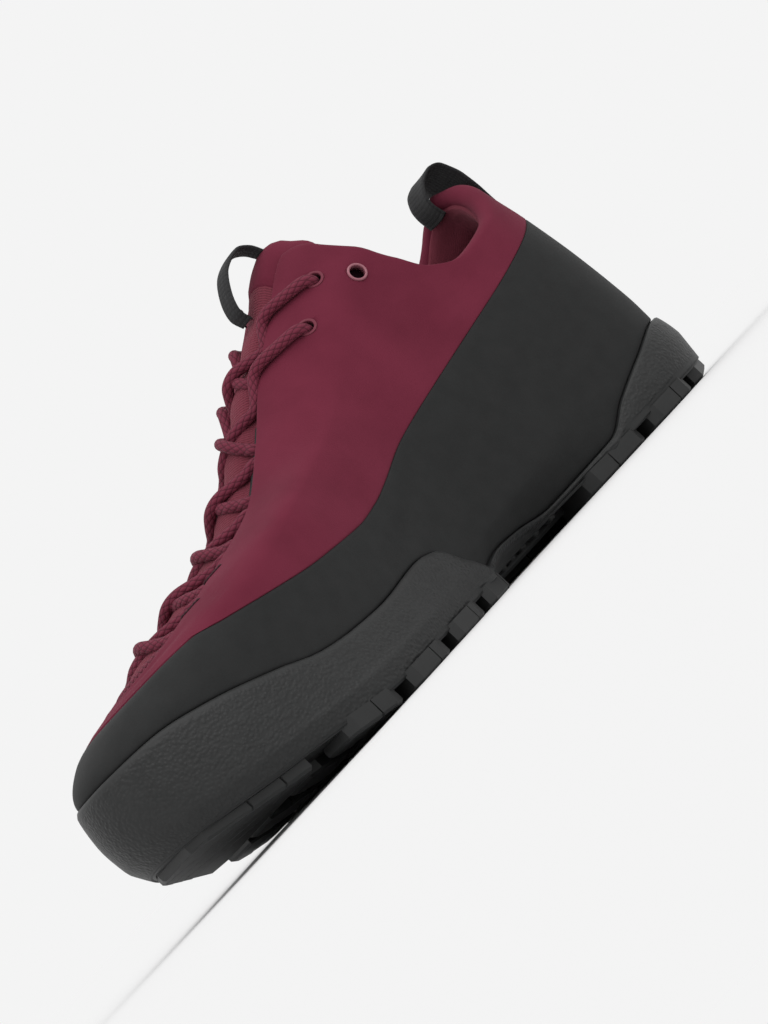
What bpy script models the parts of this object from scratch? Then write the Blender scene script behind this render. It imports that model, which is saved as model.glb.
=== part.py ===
"""Approach shoe for the right foot, standing empty on its sole.

Metres. +X points to the toe, +Y to the inner side of the foot and +Z up. The origin is on the
ground, under the middle of the sole's box.

The sole's side, rand, upper, tongue, padding and lacing all follow one surface, the last. Its
sections are rings that fan out from the sole's underside to the collar: each lies in a tilted
plane through a point on the heel's back line and a point on the line over the toe and instep. A
place on the last is a level (BASE_LEVEL at the underside, 0 at the inner floor, 1 at the collar's
top) and a turn (0 at the toe side of the ring, 1 at the heel, positive on the foot's inner side).
"""

import math
from bisect import bisect_right
from collections import namedtuple

import bmesh
import bpy
from mathutils import Matrix, Vector

# Driving sizes of the last
LAST_LENGTH = 0.280
LAST_WIDTH = 0.098
HEEL_HEIGHT = 0.107
INSTEP_HEIGHT = 0.128
HEEL_CURVE = 0.034

# Upper
UPPER_WALL = 0.0022
RAND_THICKNESS = 0.0009
FIT_GAP = 0.0003
PADDING_THICKNESS = 0.0065
PADDING_DEPTH = 0.026
SEWN_GAP = 0.0006

# Sole
HEEL_STACK = 0.022
TOE_SPRING = 0.015
LUG_DEPTH = 0.0045
ARCH_RISE = 0.0010
ARCH_TUCK = 0.016
SOLE_FLARE = 0.0052
RUBBER_TOP_EDGE = 0.0014
TOE_RUBBER_HEIGHT = 0.047
INSOLE_THICKNESS = 0.004
RIB_HEIGHT = 0.0016
RIB_THICKNESS = 0.0022
SHANK_LIFT = 0.0028
INLAY_LENGTH = 0.036
INLAY_WIDTH = 0.013
INLAY_DEPTH = 0.0012
LUG_ROOT = 0.0015

# Tongue, webbing and lacing
TONGUE_THICKNESS = 0.0050
KEEPER_THICKNESS = 0.0010
WEBBING_THICKNESS = 0.0014
LACE_DIAMETER = 0.0040
EYELET_OUTER = 0.0072
EYELET_BORE = 0.0042
EYELET_HOLE = 0.0060
EYELET_FLANGE = 0.0007

# Where the table of rings puts the sole's underside
BASE_LEVEL = -0.20

# How finely the solids are faceted
COLUMNS = 36
RAND_ROWS = 4
HIGH_SHARES = (0.0, 0.35, 0.65, 0.86, 1.0)
SOLE_ROWS_OUT = 3
LACE_STEPS = 6
INLAY_SIDES = 24

Ring = namedtuple("Ring", "level heel_in heel_up front_in front_up front_round")
# Shares of LAST_LENGTH for the two in columns and the round end, and of the rise over the floor.
RINGS = [
    Ring(-0.20, 0.012, -0.19, 0.012, -0.06, 0.230),
    Ring(0.00, 0.004, 0.00, 0.000, 0.00, 0.240),
    Ring(0.10, 0.003, 0.12, -0.008, 0.105, 0.240),
    Ring(0.20, 0.006, 0.25, -0.004, 0.222, 0.235),
    Ring(0.30, 0.010, 0.37, 0.036, 0.308, 0.230),
    Ring(0.40, 0.014, 0.48, 0.138, 0.362, 0.215),
    Ring(0.50, 0.018, 0.58, 0.252, 0.412, 0.200),
    Ring(0.60, 0.022, 0.68, 0.352, 0.470, 0.185),
    Ring(0.70, 0.027, 0.77, 0.442, 0.590, 0.175),
    Ring(0.80, 0.032, 0.86, 0.528, 0.735, 0.165),
    Ring(0.90, 0.040, 0.93, 0.615, 0.865, 0.160),
    Ring(1.00, 0.052, 1.00, 0.700, 1.000, 0.155),
    Ring(1.12, 0.068, 1.09, 0.750, 1.050, 0.150),
]

Station = namedtuple("Station", "station centre foot bulge top")
# Shares of LAST_WIDTH: where the middle line runs, and the half breadth low, at the bulge and high.
STATIONS = [
    Station(0.00, -0.020, 0.345, 0.350, 0.290),
    Station(0.15, -0.022, 0.350, 0.362, 0.300),
    Station(0.30, -0.045, 0.325, 0.345, 0.300),
    Station(0.42, -0.052, 0.310, 0.345, 0.300),
    Station(0.55, -0.035, 0.385, 0.400, 0.330),
    Station(0.66, -0.012, 0.470, 0.475, 0.380),
    Station(0.74, 0.008, 0.488, 0.490, 0.400),
    Station(0.85, 0.040, 0.455, 0.460, 0.400),
    Station(1.00, 0.095, 0.400, 0.410, 0.380),
]
BULGE_LEVEL = 0.28

SoleRow = namedtuple("SoleRow", "station floor rise arch tuck_in tuck_out flare")
# Shares of HEEL_STACK, TOE_SPRING, ARCH_RISE, ARCH_TUCK and SOLE_FLARE.
SOLE_ROWS = [
    SoleRow(0.00, 1.00, 0.12, 0.0, 0.10, 0.10, 0.75),
    SoleRow(0.07, 0.99, 0.00, 0.0, 0.05, 0.05, 0.70),
    SoleRow(0.22, 0.95, 0.00, 0.0, 0.10, 0.05, 0.50),
    SoleRow(0.30, 0.91, 0.00, 0.6, 0.55, 0.00, 0.45),
    SoleRow(0.38, 0.85, 0.00, 1.0, 1.00, 0.00, 0.40),
    SoleRow(0.45, 0.78, 0.00, 0.6, 0.75, 0.10, 0.45),
    SoleRow(0.51, 0.71, 0.00, 0.2, 0.10, 0.12, 0.80),
    SoleRow(0.60, 0.65, 0.00, 0.0, 0.10, 0.05, 1.00),
    SoleRow(0.72, 0.62, 0.00, 0.0, 0.05, 0.05, 1.00),
    SoleRow(0.86, 0.76, 0.38, 0.0, 0.15, 0.12, 0.95),
    SoleRow(1.00, 1.15, 1.00, 0.0, 0.40, 0.40, 0.80),
]

RubberRow = namedtuple("RubberRow", "station inner outer")
# Height over the ground of the rubber's top line, as shares of TOE_RUBBER_HEIGHT.
RUBBER_ROWS = [
    RubberRow(0.000, 0.53, 0.53),
    RubberRow(0.060, 0.52, 0.52),
    RubberRow(0.135, 0.41, 0.42),
    RubberRow(0.190, 0.30, 0.33),
    RubberRow(0.235, 0.17, 0.26),
    RubberRow(0.330, 0.16, 0.25),
    RubberRow(0.385, 0.21, 0.27),
    RubberRow(0.435, 0.23, 0.29),
    RubberRow(0.482, 0.19, 0.32),
    RubberRow(0.510, 0.34, 0.42),
    RubberRow(0.535, 0.51, 0.50),
    RubberRow(0.571, 0.55, 0.53),
    RubberRow(0.660, 0.52, 0.52),
    RubberRow(0.720, 0.54, 0.54),
    RubberRow(0.771, 0.59, 0.58),
    RubberRow(0.816, 0.70, 0.68),
    RubberRow(0.896, 0.88, 0.86),
    RubberRow(0.950, 0.97, 0.96),
    RubberRow(1.000, 1.00, 1.00),
]

EdgeRow = namedtuple("EdgeRow", "turn level")
# The upper's top line, from the foot of the throat up its edge and round the collar to the heel.
TOP_LINE = [
    EdgeRow(0.000, 0.380),
    EdgeRow(0.070, 0.386),
    EdgeRow(0.115, 0.430),
    EdgeRow(0.122, 0.560),
    EdgeRow(0.118, 0.700),
    EdgeRow(0.114, 0.850),
    EdgeRow(0.120, 0.945),
    EdgeRow(0.155, 0.980),
    EdgeRow(0.220, 0.972),
    EdgeRow(0.300, 0.943),
    EdgeRow(0.400, 0.893),
    EdgeRow(0.500, 0.808),
    EdgeRow(0.570, 0.718),
    EdgeRow(0.640, 0.662),
    EdgeRow(0.720, 0.690),
    EdgeRow(0.800, 0.790),
    EdgeRow(0.880, 0.920),
    EdgeRow(1.000, 1.000),
]

RandRow = namedtuple("RandRow", "turn level")
# The rand's top edge.
RAND_LINE = [
    RandRow(0.000, 0.335),
    RandRow(0.158, 0.333),
    RandRow(0.210, 0.326),
    RandRow(0.265, 0.289),
    RandRow(0.332, 0.251),
    RandRow(0.391, 0.227),
    RandRow(0.446, 0.219),
    RandRow(0.474, 0.230),
    RandRow(0.497, 0.253),
    RandRow(0.533, 0.310),
    RandRow(0.604, 0.390),
    RandRow(0.695, 0.467),
    RandRow(0.764, 0.518),
    RandRow(0.860, 0.570),
    RandRow(1.000, 0.600),
]

ColumnRow = namedtuple("ColumnRow", "count base top")
# Shares of the way round from toe to heel at which each column stands on the underside's edge and
# on the top line. They stand closer where the rubber's top line turns sharply.
COLUMN_ROWS = [
    ColumnRow(0.00, 0.00, 0.00),
    ColumnRow(0.15, 0.17, 0.07),
    ColumnRow(0.33, 0.42, 0.27),
    ColumnRow(0.52, 0.53, 0.43),
    ColumnRow(0.64, 0.67, 0.62),
    ColumnRow(0.80, 0.81, 0.77),
    ColumnRow(1.00, 1.00, 1.00),
]

LugRow = namedtuple("LugRow", "back front inner outer skew")
# Lugs: stations of the back and front edge, places across (1 at the inner edge, -1 at the outer
# edge), and how far the front is carried across.
LUG_ROWS = [
    LugRow(0.010, 0.080, 0.97, 0.10, 0.00),
    LugRow(0.010, 0.080, -0.10, -0.97, 0.00),
    LugRow(0.100, 0.175, 1.03, 0.36, 0.00),
    LugRow(0.105, 0.180, 0.24, -0.24, 0.00),
    LugRow(0.100, 0.175, -0.36, -1.03, 0.00),
    LugRow(0.195, 0.280, 1.03, 0.28, 0.00),
    LugRow(0.200, 0.255, 0.16, -0.20, 0.00),
    LugRow(0.195, 0.385, -0.32, -1.03, 0.00),
    LugRow(0.475, 0.545, 1.03, 0.56, 0.00),
    LugRow(0.450, 0.525, -0.56, -1.03, 0.00),
    LugRow(0.565, 0.640, 1.03, 0.64, 0.00),
    LugRow(0.545, 0.625, -0.62, -1.03, 0.00),
    LugRow(0.660, 0.735, 1.03, 0.66, 0.00),
    LugRow(0.645, 0.725, -0.64, -1.03, 0.00),
    LugRow(0.755, 0.825, 1.02, 0.64, 0.00),
    LugRow(0.745, 0.820, -0.62, -1.02, 0.00),
    LugRow(0.490, 0.570, 0.42, 0.07, 0.08),
    LugRow(0.490, 0.570, -0.07, -0.42, -0.08),
    LugRow(0.585, 0.665, 0.48, 0.07, 0.08),
    LugRow(0.585, 0.665, -0.07, -0.48, -0.08),
    LugRow(0.680, 0.760, 0.50, 0.07, 0.08),
    LugRow(0.680, 0.760, -0.07, -0.50, -0.08),
    LugRow(0.775, 0.835, 0.48, 0.07, 0.06),
    LugRow(0.775, 0.835, -0.07, -0.48, -0.06),
    LugRow(0.855, 0.985, 0.94, -0.94, 0.00),
]
LUG_CORNER = 0.012

# The plate under the shank, and the ribs of the hollow beside it: stations where each leaves the
# inner edge, places across where it starts and ends, and how far it is swept back.
SHANK_PLATE = LugRow(0.270, 0.480, 0.46, -0.46, 0.00)
RIB_STATIONS = (0.325, 0.350, 0.375, 0.400, 0.425, 0.450)
RIB_ACROSS = (0.92, 0.36)
RIB_SWEEP = 0.030
INLAY_STATION = 0.365
INLAY_ACROSS = 0.13

EyeletRow = namedtuple("EyeletRow", "name level turn")
EYELETS = [
    EyeletRow("low", 0.808, 0.272),
    EyeletRow("middle", 0.888, 0.280),
    EyeletRow("top", 0.828, 0.408),
]

LaceRow = namedtuple("LaceRow", "level reach")
# Lace rows: their level, and how far out from the middle each reaches.
LACE_ROWS = [
    LaceRow(0.415, 0.100),
    LaceRow(0.480, 0.105),
    LaceRow(0.550, 0.108),
    LaceRow(0.622, 0.108),
    LaceRow(0.700, 0.106),
    LaceRow(0.790, 0.125),
    LaceRow(0.875, 0.135),
]
LACE_END_GAP = 0.010

LoopRow = namedtuple("LoopRow", "level out")
# Webbing loops: level, and thicknesses of webbing clear of what they are sewn to.
HEEL_LOOP = [
    LoopRow(0.650, 0.0),
    LoopRow(0.740, 0.8),
    LoopRow(0.840, 2.6),
    LoopRow(0.930, 4.0),
    LoopRow(1.000, 4.2),
    LoopRow(1.050, 2.2),
    LoopRow(1.062, -1.0),
    LoopRow(1.040, -4.2),
    LoopRow(0.990, -6.8),
    LoopRow(0.920, -7.8),
]
HEEL_LOOP_REACH = 0.062
TONGUE_LOOP = [
    LoopRow(0.915, 0.0),
    LoopRow(0.918, 2.6),
    LoopRow(0.935, 5.6),
    LoopRow(0.965, 7.4),
    LoopRow(0.997, 6.0),
    LoopRow(1.018, 2.8),
    LoopRow(1.024, 0.0),
]
TONGUE_LOOP_REACH = 0.035
TONGUE_BOTTOM = 0.350
TONGUE_TOP = 1.065
CrownRow = namedtuple("CrownRow", "place height")
# How the tongue's padding swells up between the throat's edges: places across, and shares of the
# depth that it lies at under the edges.
CROWN_ROWS = [
    CrownRow(0.00, 1.00),
    CrownRow(0.25, 0.85),
    CrownRow(0.50, 0.00),
    CrownRow(1.00, 0.00),
]
KEEPER_SPAN = (0.385, 0.745)
KEEPER_REACH = (0.092, 0.150)
PADDING_FRONT = 0.47
PaddingRow = namedtuple("PaddingRow", "depth thickness")
PADDING_ROWS = [
    PaddingRow(0.00, 0.30),
    PaddingRow(0.10, 0.80),
    PaddingRow(0.30, 1.00),
    PaddingRow(0.60, 0.90),
    PaddingRow(0.85, 0.55),
    PaddingRow(1.00, 0.20),
]


class Curve:
    """A smooth curve through the rows of a table, which never overshoots them."""

    def __init__(self, keys, values):
        self.keys = list(keys)
        self.values = list(values)
        steps = [b - a for a, b in zip(self.keys, self.keys[1:])]
        rises = [(b - a) / step for a, b, step in zip(self.values, self.values[1:], steps)]
        self.slopes = [rises[0]]
        for before, after in zip(rises, rises[1:]):
            turns_back = before * after <= 0
            self.slopes.append(0.0 if turns_back else 2 * before * after / (before + after))
        self.slopes.append(rises[-1])

    def at(self, key):
        key = min(max(key, self.keys[0]), self.keys[-1])
        i = min(bisect_right(self.keys, key) - 1, len(self.keys) - 2)
        step = self.keys[i + 1] - self.keys[i]
        s = (key - self.keys[i]) / step
        return (
            self.values[i] * (1 + 2 * s) * (1 - s) ** 2
            + self.slopes[i] * step * s * (1 - s) ** 2
            + self.values[i + 1] * s * s * (3 - 2 * s)
            + self.slopes[i + 1] * step * s * s * (s - 1)
        )


def curves_of(table):
    """One curve for each column of a table, keyed by the table's first column."""
    keys = [row[0] for row in table]
    return {name: Curve(keys, [getattr(row, name) for row in table]) for name in table[0]._fields[1:]}


RING = curves_of(RINGS)
STATION = curves_of(STATIONS)
SOLE = curves_of(SOLE_ROWS)
RUBBER = curves_of(RUBBER_ROWS)
RAND = curves_of(RAND_LINE)
COLUMN = curves_of(COLUMN_ROWS)
CROWN = curves_of(CROWN_ROWS)


def rounded(depth, radius):
    """How much of the full breadth a round end has at this depth from its tip."""
    share = min(max(depth / radius, 0.0), 1.0)
    return math.sqrt(max(1 - (1 - share) ** 2, 0.0))


def floor_height(station):
    """Height of the inner floor over the ground."""
    return HEEL_STACK * SOLE["floor"].at(station)


def tread_height(station):
    """Height of the lugs' ground faces: flat under heel and ball, and lifted at toe and heel back."""
    return TOE_SPRING * SOLE["rise"].at(station)


def base_height(station):
    """Height of the sole's underside between the lugs."""
    return LUG_DEPTH + tread_height(station) + ARCH_RISE * SOLE["arch"].at(station)


def half_breadth(station, level, inner):
    row = [STATION[name].at(station) for name in ("foot", "bulge", "top")]
    half = LAST_WIDTH * Curve([0.0, BULGE_LEVEL, 1.0], row).at(level)
    if level < 0:
        tuck = SOLE["tuck_in" if inner else "tuck_out"].at(station)
        half -= ARCH_TUCK * tuck * (level / BASE_LEVEL) ** 1.5
    return half


def wrapped(turn):
    """The same turn, kept between -1 and 1."""
    return (turn + 1) % 2 - 1


def last_point(level, turn):
    """The point of the last's surface at this level and turn."""
    turn = wrapped(turn)
    heel_x = LAST_LENGTH * (RING["heel_in"].at(level) - 0.5)
    front_x = LAST_LENGTH * (0.5 - RING["front_in"].at(level))
    share = (1 + math.cos(math.pi * turn)) / 2
    x = heel_x + (front_x - heel_x) * share
    station = x / LAST_LENGTH + 0.5
    if level < 0:
        floor, base = floor_height(station), base_height(station)
        z = floor + (base - floor) * level / BASE_LEVEL
    else:
        heel_floor, toe_floor = floor_height(0.0), floor_height(1.0)
        heel_z = heel_floor + RING["heel_up"].at(level) * (HEEL_HEIGHT - heel_floor)
        front_z = toe_floor + RING["front_up"].at(level) * (INSTEP_HEIGHT - toe_floor)
        sag = floor_height(station) - heel_floor - (toe_floor - heel_floor) * share
        z = heel_z + (front_z - heel_z) * share + sag * max(0.0, 1 - level / 0.45) ** 2
    ends = rounded(front_x - x, RING["front_round"].at(level) * LAST_LENGTH) * rounded(
        x - heel_x, HEEL_CURVE
    )
    side = 1 if turn >= 0 else -1
    half = half_breadth(station, level, side > 0)
    return Vector((x, LAST_WIDTH * STATION["centre"].at(station) + side * half * ends, z))


def last_normal(level, turn):
    """The outward normal of the last's surface."""
    step = 0.004
    low = max(level - step, BASE_LEVEL)
    up = last_point(level + step, turn) - last_point(low, turn)
    along = last_point(level, turn + step) - last_point(level, turn - step)
    return along.cross(up).normalized()


def off_last(level, turn, out):
    """The point at this distance outside the last's surface, or inside it where out is negative."""
    return last_point(level, turn) + last_normal(level, turn) * out


def beside_last(level, turn, out):
    """The point at this distance outside the last's surface, measured level with the ground."""
    outward = last_normal(level, turn)
    outward.z = 0
    return last_point(level, turn) + outward.normalized() * out


def between(a, b, share):
    """The place at this share of the way from one (turn, level) place to another."""
    return (a[0] + (b[0] - a[0]) * share, a[1] + (b[1] - a[1]) * share)


def spread_evenly(points, places):
    """Places along a polyline of (turn, level) pairs, at these shares of its length on the last."""
    lengths = [0.0]
    for before, after in zip(points, points[1:]):
        step = last_point(after[1], after[0]) - last_point(before[1], before[0])
        lengths.append(lengths[-1] + step.length)
    along_turn = Curve(lengths, [turn for turn, _ in points])
    along_level = Curve(lengths, [level for _, level in points])
    return [(along_turn.at(p * lengths[-1]), along_level.at(p * lengths[-1])) for p in places]


def fine_top_line(steps=160):
    """The top line as many (turn, level) pairs, smooth through its corners."""
    knots = [0.0]
    for before, after in zip(TOP_LINE, TOP_LINE[1:]):
        knots.append(knots[-1] + math.hypot(after.turn - before.turn, after.level - before.level))
    turn = Curve(knots, [row.turn for row in TOP_LINE])
    level = Curve(knots, [row.level for row in TOP_LINE])
    return [(turn.at(knots[-1] * i / steps), level.at(knots[-1] * i / steps)) for i in range(steps + 1)]


class Column:
    """One line up the last's side, from the sole's underside by the rand's top edge to the upper's
    top line."""

    def __init__(self, turn, top):
        self.turn = turn
        self.top = top
        self.rand = (turn, RAND["level"].at(abs(turn)))
        side = "inner" if turn >= 0 else "outer"
        self.floor = self.share_where(lambda s, z: z - floor_height(s))
        self.seam = self.share_where(lambda s, z: z - TOE_RUBBER_HEIGHT * RUBBER[side].at(s))

    def low(self, share):
        """The (turn, level) at this share of the way from the underside to the rand's top edge."""
        return between((self.turn, BASE_LEVEL), self.rand, share)

    def low_off(self, share, out):
        """The point at this distance outside the low part, straight from knot to knot."""
        knots = self.knots()
        i = min(bisect_right(knots, share), len(knots) - 1)
        before, after = knots[i - 1], knots[i]
        start, end = off_place(self.low(before), out), off_place(self.low(after), out)
        return start.lerp(end, (share - before) / (after - before))

    def knots(self):
        """The shares at which the low part bends: at the underside, at the inner floor and above."""
        return [0.0] + shares(self.floor, 1.0, RAND_ROWS)

    def high(self, share):
        """The (turn, level) at this share of the way from the rand's top edge to the top line."""
        return between(self.rand, self.top, share)

    def below_top(self, drop):
        """The (turn, level) at this distance down from the top line."""
        upper_part = (off_place(self.top, 0.0) - off_place(self.rand, 0.0)).length
        if drop <= upper_part:
            return self.high(1 - drop / upper_part)
        lower_part = (off_place(self.rand, 0.0) - off_place(self.low(0.0), 0.0)).length
        return self.low(1 - (drop - upper_part) / lower_part)

    def share_where(self, excess):
        """The share below the rand's top edge at which a function of station and height is zero."""
        below, above = 0.0, 1.0
        for _ in range(24):
            middle = (below + above) / 2
            turn, level = self.low(middle)
            point = last_point(level, turn)
            if excess(point.x / LAST_LENGTH + 0.5, point.z) < 0:
                below = middle
            else:
                above = middle
        return below

    def mirrored(self):
        return Column(-self.turn, (-self.top[0], self.top[1]))


def off_place(place, out):
    """The point at this distance outside a (turn, level) place, or inside where out is negative."""
    return off_last(place[1], place[0], out)


def shares(start, end, steps):
    return [start + (end - start) * i / steps for i in range(steps + 1)]


def side_columns():
    """The columns of the foot's inner side, from the toe to the heel."""
    counts = shares(0.0, 1.0, COLUMNS)
    line = [(share, BASE_LEVEL) for share in shares(0.0, 1.0, 80)]
    bases = spread_evenly(line, [COLUMN["base"].at(count) for count in counts])
    tops = spread_evenly(fine_top_line(), [COLUMN["top"].at(count) for count in counts])
    return [Column(base[0], top) for base, top in zip(bases, tops)]


def all_columns():
    """A closed round of columns: the inner side toe to heel, then the outer side heel to toe."""
    inner = side_columns()
    return inner + [column.mirrored() for column in inner[-2:0:-1]]


def mesh_object(name, vertices, faces, finish):
    """A closed mesh object with its faces pointing outwards."""
    mesh = bpy.data.meshes.new(name)
    mesh.from_pydata(vertices, [], faces)
    form = bmesh.new()
    form.from_mesh(mesh)
    bmesh.ops.remove_doubles(form, verts=form.verts, dist=1e-6)
    bmesh.ops.recalc_face_normals(form, faces=form.faces)
    if form.calc_volume(signed=True) < 0:
        bmesh.ops.reverse_faces(form, faces=form.faces)
    form.to_mesh(mesh)
    form.free()
    thing = bpy.data.objects.new(name, mesh)
    if finish:
        thing.data.materials.append(finish)
    bpy.context.scene.collection.objects.link(thing)
    return thing


def material(name, colour, roughness, metallic=0.0):
    made = bpy.data.materials.new(name)
    made.use_nodes = True
    shader = made.node_tree.nodes["Principled BSDF"]
    shader.inputs["Base Color"].default_value = (*colour, 1)
    shader.inputs["Roughness"].default_value = roughness
    shader.inputs["Metallic"].default_value = metallic
    return made


def split(vertices, a, b, c, d):
    """Two triangles for a face whose edge a-b is on one column and d-c on the next. The cut runs from
    the lower of a and b to the upper of the next column's, so that pieces that face each other agree."""
    if vertices[a].z < vertices[b].z:
        return [(a, b, c), (a, c, d)]
    return [(a, b, d), (b, c, d)]


def ring_mesh(name, loops, finish):
    """A solid ring from closed loops, each joined to the next and the last to the first."""
    count = len(loops[0])
    vertices = [point for loop in loops for point in loop]
    faces = []
    for i in range(len(loops)):
        following = (i + 1) % len(loops)
        for k in range(count):
            after = (k + 1) % count
            corners = (i * count + k, i * count + after, following * count + after, following * count + k)
            faces += split(vertices, *corners)
    return mesh_object(name, vertices, faces, finish)


def sheet_mesh(name, outer, inner, finish):
    """A closed sheet from two grids of points, rows by columns, for its two faces."""
    rows, columns = len(outer), len(outer[0])
    count = rows * columns
    vertices = [point for row in outer for point in row] + [point for row in inner for point in row]
    faces = []
    for i in range(rows - 1):
        for k in range(columns - 1):
            a = i * columns + k
            face = (a, a + 1, a + 1 + columns, a + columns)
            faces.append(face)
            faces.append(tuple(count + index for index in reversed(face)))
    rim = list(range(columns))
    rim += [i * columns + columns - 1 for i in range(1, rows)]
    rim += [(rows - 1) * columns + k for k in range(columns - 2, -1, -1)]
    rim += [i * columns for i in range(rows - 2, 0, -1)]
    for a, b in zip(rim, rim[1:] + rim[:1]):
        faces.append((a, count + a, count + b, b))
    return mesh_object(name, vertices, faces, finish)


def boolean(target, operation, operand):
    """Joins the operand to the target or cuts it away, and deletes the operand."""
    step = target.modifiers.new(operation.lower(), "BOOLEAN")
    step.operation = operation
    step.solver = "EXACT"
    step.object = operand
    graph = bpy.context.evaluated_depsgraph_get()
    made = bpy.data.meshes.new_from_object(target.evaluated_get(graph))
    target.modifiers.remove(step)
    target.data = made
    bpy.data.objects.remove(operand)


def frame_at(level, turn):
    """A frame on the last's surface with its Z axis along the outward normal."""
    frame = last_normal(level, turn).to_track_quat("Z", "Y").to_matrix().to_4x4()
    frame.translation = last_point(level, turn)
    return frame


def revolved(name, profile, sides, frame, finish):
    """A ring turned from a closed profile of (radius, height) pairs."""
    loops = []
    for i in range(sides):
        angle = 2 * math.pi * i / sides
        loops.append([frame @ Vector((r * math.cos(angle), r * math.sin(angle), h)) for r, h in profile])
    return ring_mesh(name, loops, finish)


def build_upper(columns, suede):
    """The hollow upper. Under the rand its outer face is stepped in by the rand's thickness."""
    recess = RAND_THICKNESS + FIT_GAP
    loops = []
    for column in columns:
        low = column.knots()[1:]
        high = [column.high(share) for share in HIGH_SHARES]
        loop = [column.low_off(share, -recess) for share in low]
        loop += [off_place(place, 0.0) for place in high]
        loop += [off_place(place, -UPPER_WALL) for place in reversed(high)]
        loop += [column.low_off(share, -UPPER_WALL) for share in reversed(low[:-1])]
        loops.append(loop)
    upper = ring_mesh("upper", loops, suede)
    form = bmesh.new()
    for row in EYELETS:
        for side in (1, -1):
            made = bmesh.ops.create_cone(
                form,
                cap_ends=True,
                segments=12,
                radius1=EYELET_HOLE / 2,
                radius2=EYELET_HOLE / 2,
                depth=UPPER_WALL * 4,
            )
            bmesh.ops.transform(form, matrix=frame_at(row.level, side * row.turn), verts=made["verts"])
    mesh = bpy.data.meshes.new("eyelet holes")
    form.to_mesh(mesh)
    form.free()
    drills = bpy.data.objects.new("eyelet holes", mesh)
    bpy.context.scene.collection.objects.link(drills)
    boolean(upper, "DIFFERENCE", drills)
    return upper


def build_rand(columns, rubberised):
    """The rubberised band round the upper and the sole's side, flush with the upper above it."""
    loops = []
    for column in columns:
        height = (off_place(column.low(1.0), 0.0) - off_place(column.low(0.0), 0.0)).length
        clear = FIT_GAP / height
        rows = [min(max(knot, column.seam + clear), 1.0 - clear) for knot in column.knots()]
        loop = [column.low_off(row, 0.0) for row in rows]
        loop += [column.low_off(row, -RAND_THICKNESS) for row in reversed(rows)]
        loops.append(loop)
    return ring_mesh("rand", loops, rubberised)


def sole_profile(column):
    """The sole's side on this column, from its inner floor to its underside."""
    station = last_point(BASE_LEVEL, column.turn).x / LAST_LENGTH + 0.5
    flare = SOLE_FLARE * SOLE["flare"].at(station)
    cupped = column.seam > column.floor
    inset = -RAND_THICKNESS if cupped else -(RAND_THICKNESS + FIT_GAP)
    rows = [min(knot, max(column.seam, column.floor)) for knot in column.knots()[1:-1]] + [column.seam]
    profile = [column.low_off(row, inset) for row in rows]
    ground = floor_height(profile[0].x / LAST_LENGTH + 0.5) - FIT_GAP
    if cupped:
        profile[0].z = ground
    else:
        rise = max(profile[0].z - profile[-1].z, FIT_GAP)
        edge = profile[0].lerp(profile[-1], min(1.0, (profile[0].z - ground) / rise))
        profile = [edge] * (len(rows) - 1) + [profile[-1]]
        profile.append(column.low_off(column.seam, RUBBER_TOP_EDGE))
    for share in shares(0.0, 1.0, SOLE_ROWS_OUT)[0 if cupped else 1:]:
        turn, level = column.low(column.seam * (1 - share))
        swell = RUBBER_TOP_EDGE + (flare - RUBBER_TOP_EDGE) * min(1.0, 2.2 * share) ** 0.7
        profile.append(beside_last(level, turn, swell))
    return profile


def capped_round(name, profiles, across, finish):
    """A solid whose side is profiles on a closed round, with its first and last points spanned
    from side to side. Profiles come in mirrored pairs, after the first and the middle one."""
    vertices = []
    faces = []
    count = len(profiles[0])
    total = len(profiles)
    for profile in profiles:
        vertices += profile
    for i in range(total):
        following = (i + 1) % total
        for k in range(count - 1):
            corners = (i * count + k, i * count + k + 1, following * count + k + 1, following * count + k)
            faces += split(vertices, *corners)
    half = total // 2
    for end in (0, count - 1):
        rows = [[end]]
        for j in range(1, half):
            near, far = j * count + end, (total - j) * count + end
            row = [near]
            for step in range(1, across + 1):
                vertices.append(vertices[near].lerp(vertices[far], step / (across + 1)))
                row.append(len(vertices) - 1)
            rows.append(row + [far])
        rows.append([half * count + end])
        for before, after in zip(rows, rows[1:]):
            if len(before) == 1:
                faces += [(before[0], a, b) for a, b in zip(after, after[1:])]
            elif len(after) == 1:
                faces += [(after[0], a, b) for a, b in zip(before, before[1:])]
            else:
                faces += list(zip(before, before[1:], after[1:], after))
    return mesh_object(name, vertices, faces, finish)


def tread_point(station, across, height):
    """A point of the tread: across is 1 on the inner edge and -1 on the outer edge."""
    share = min(max(station, 0.0), 1.0)
    turn = math.acos(2 * share - 1) / math.pi
    flare = SOLE_FLARE * SOLE["flare"].at(station)
    inner = beside_last(BASE_LEVEL, turn, flare)
    outer = beside_last(BASE_LEVEL, -turn, flare)
    place = inner.lerp(outer, (1 - across) / 2)
    place.z = height
    return place


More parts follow.
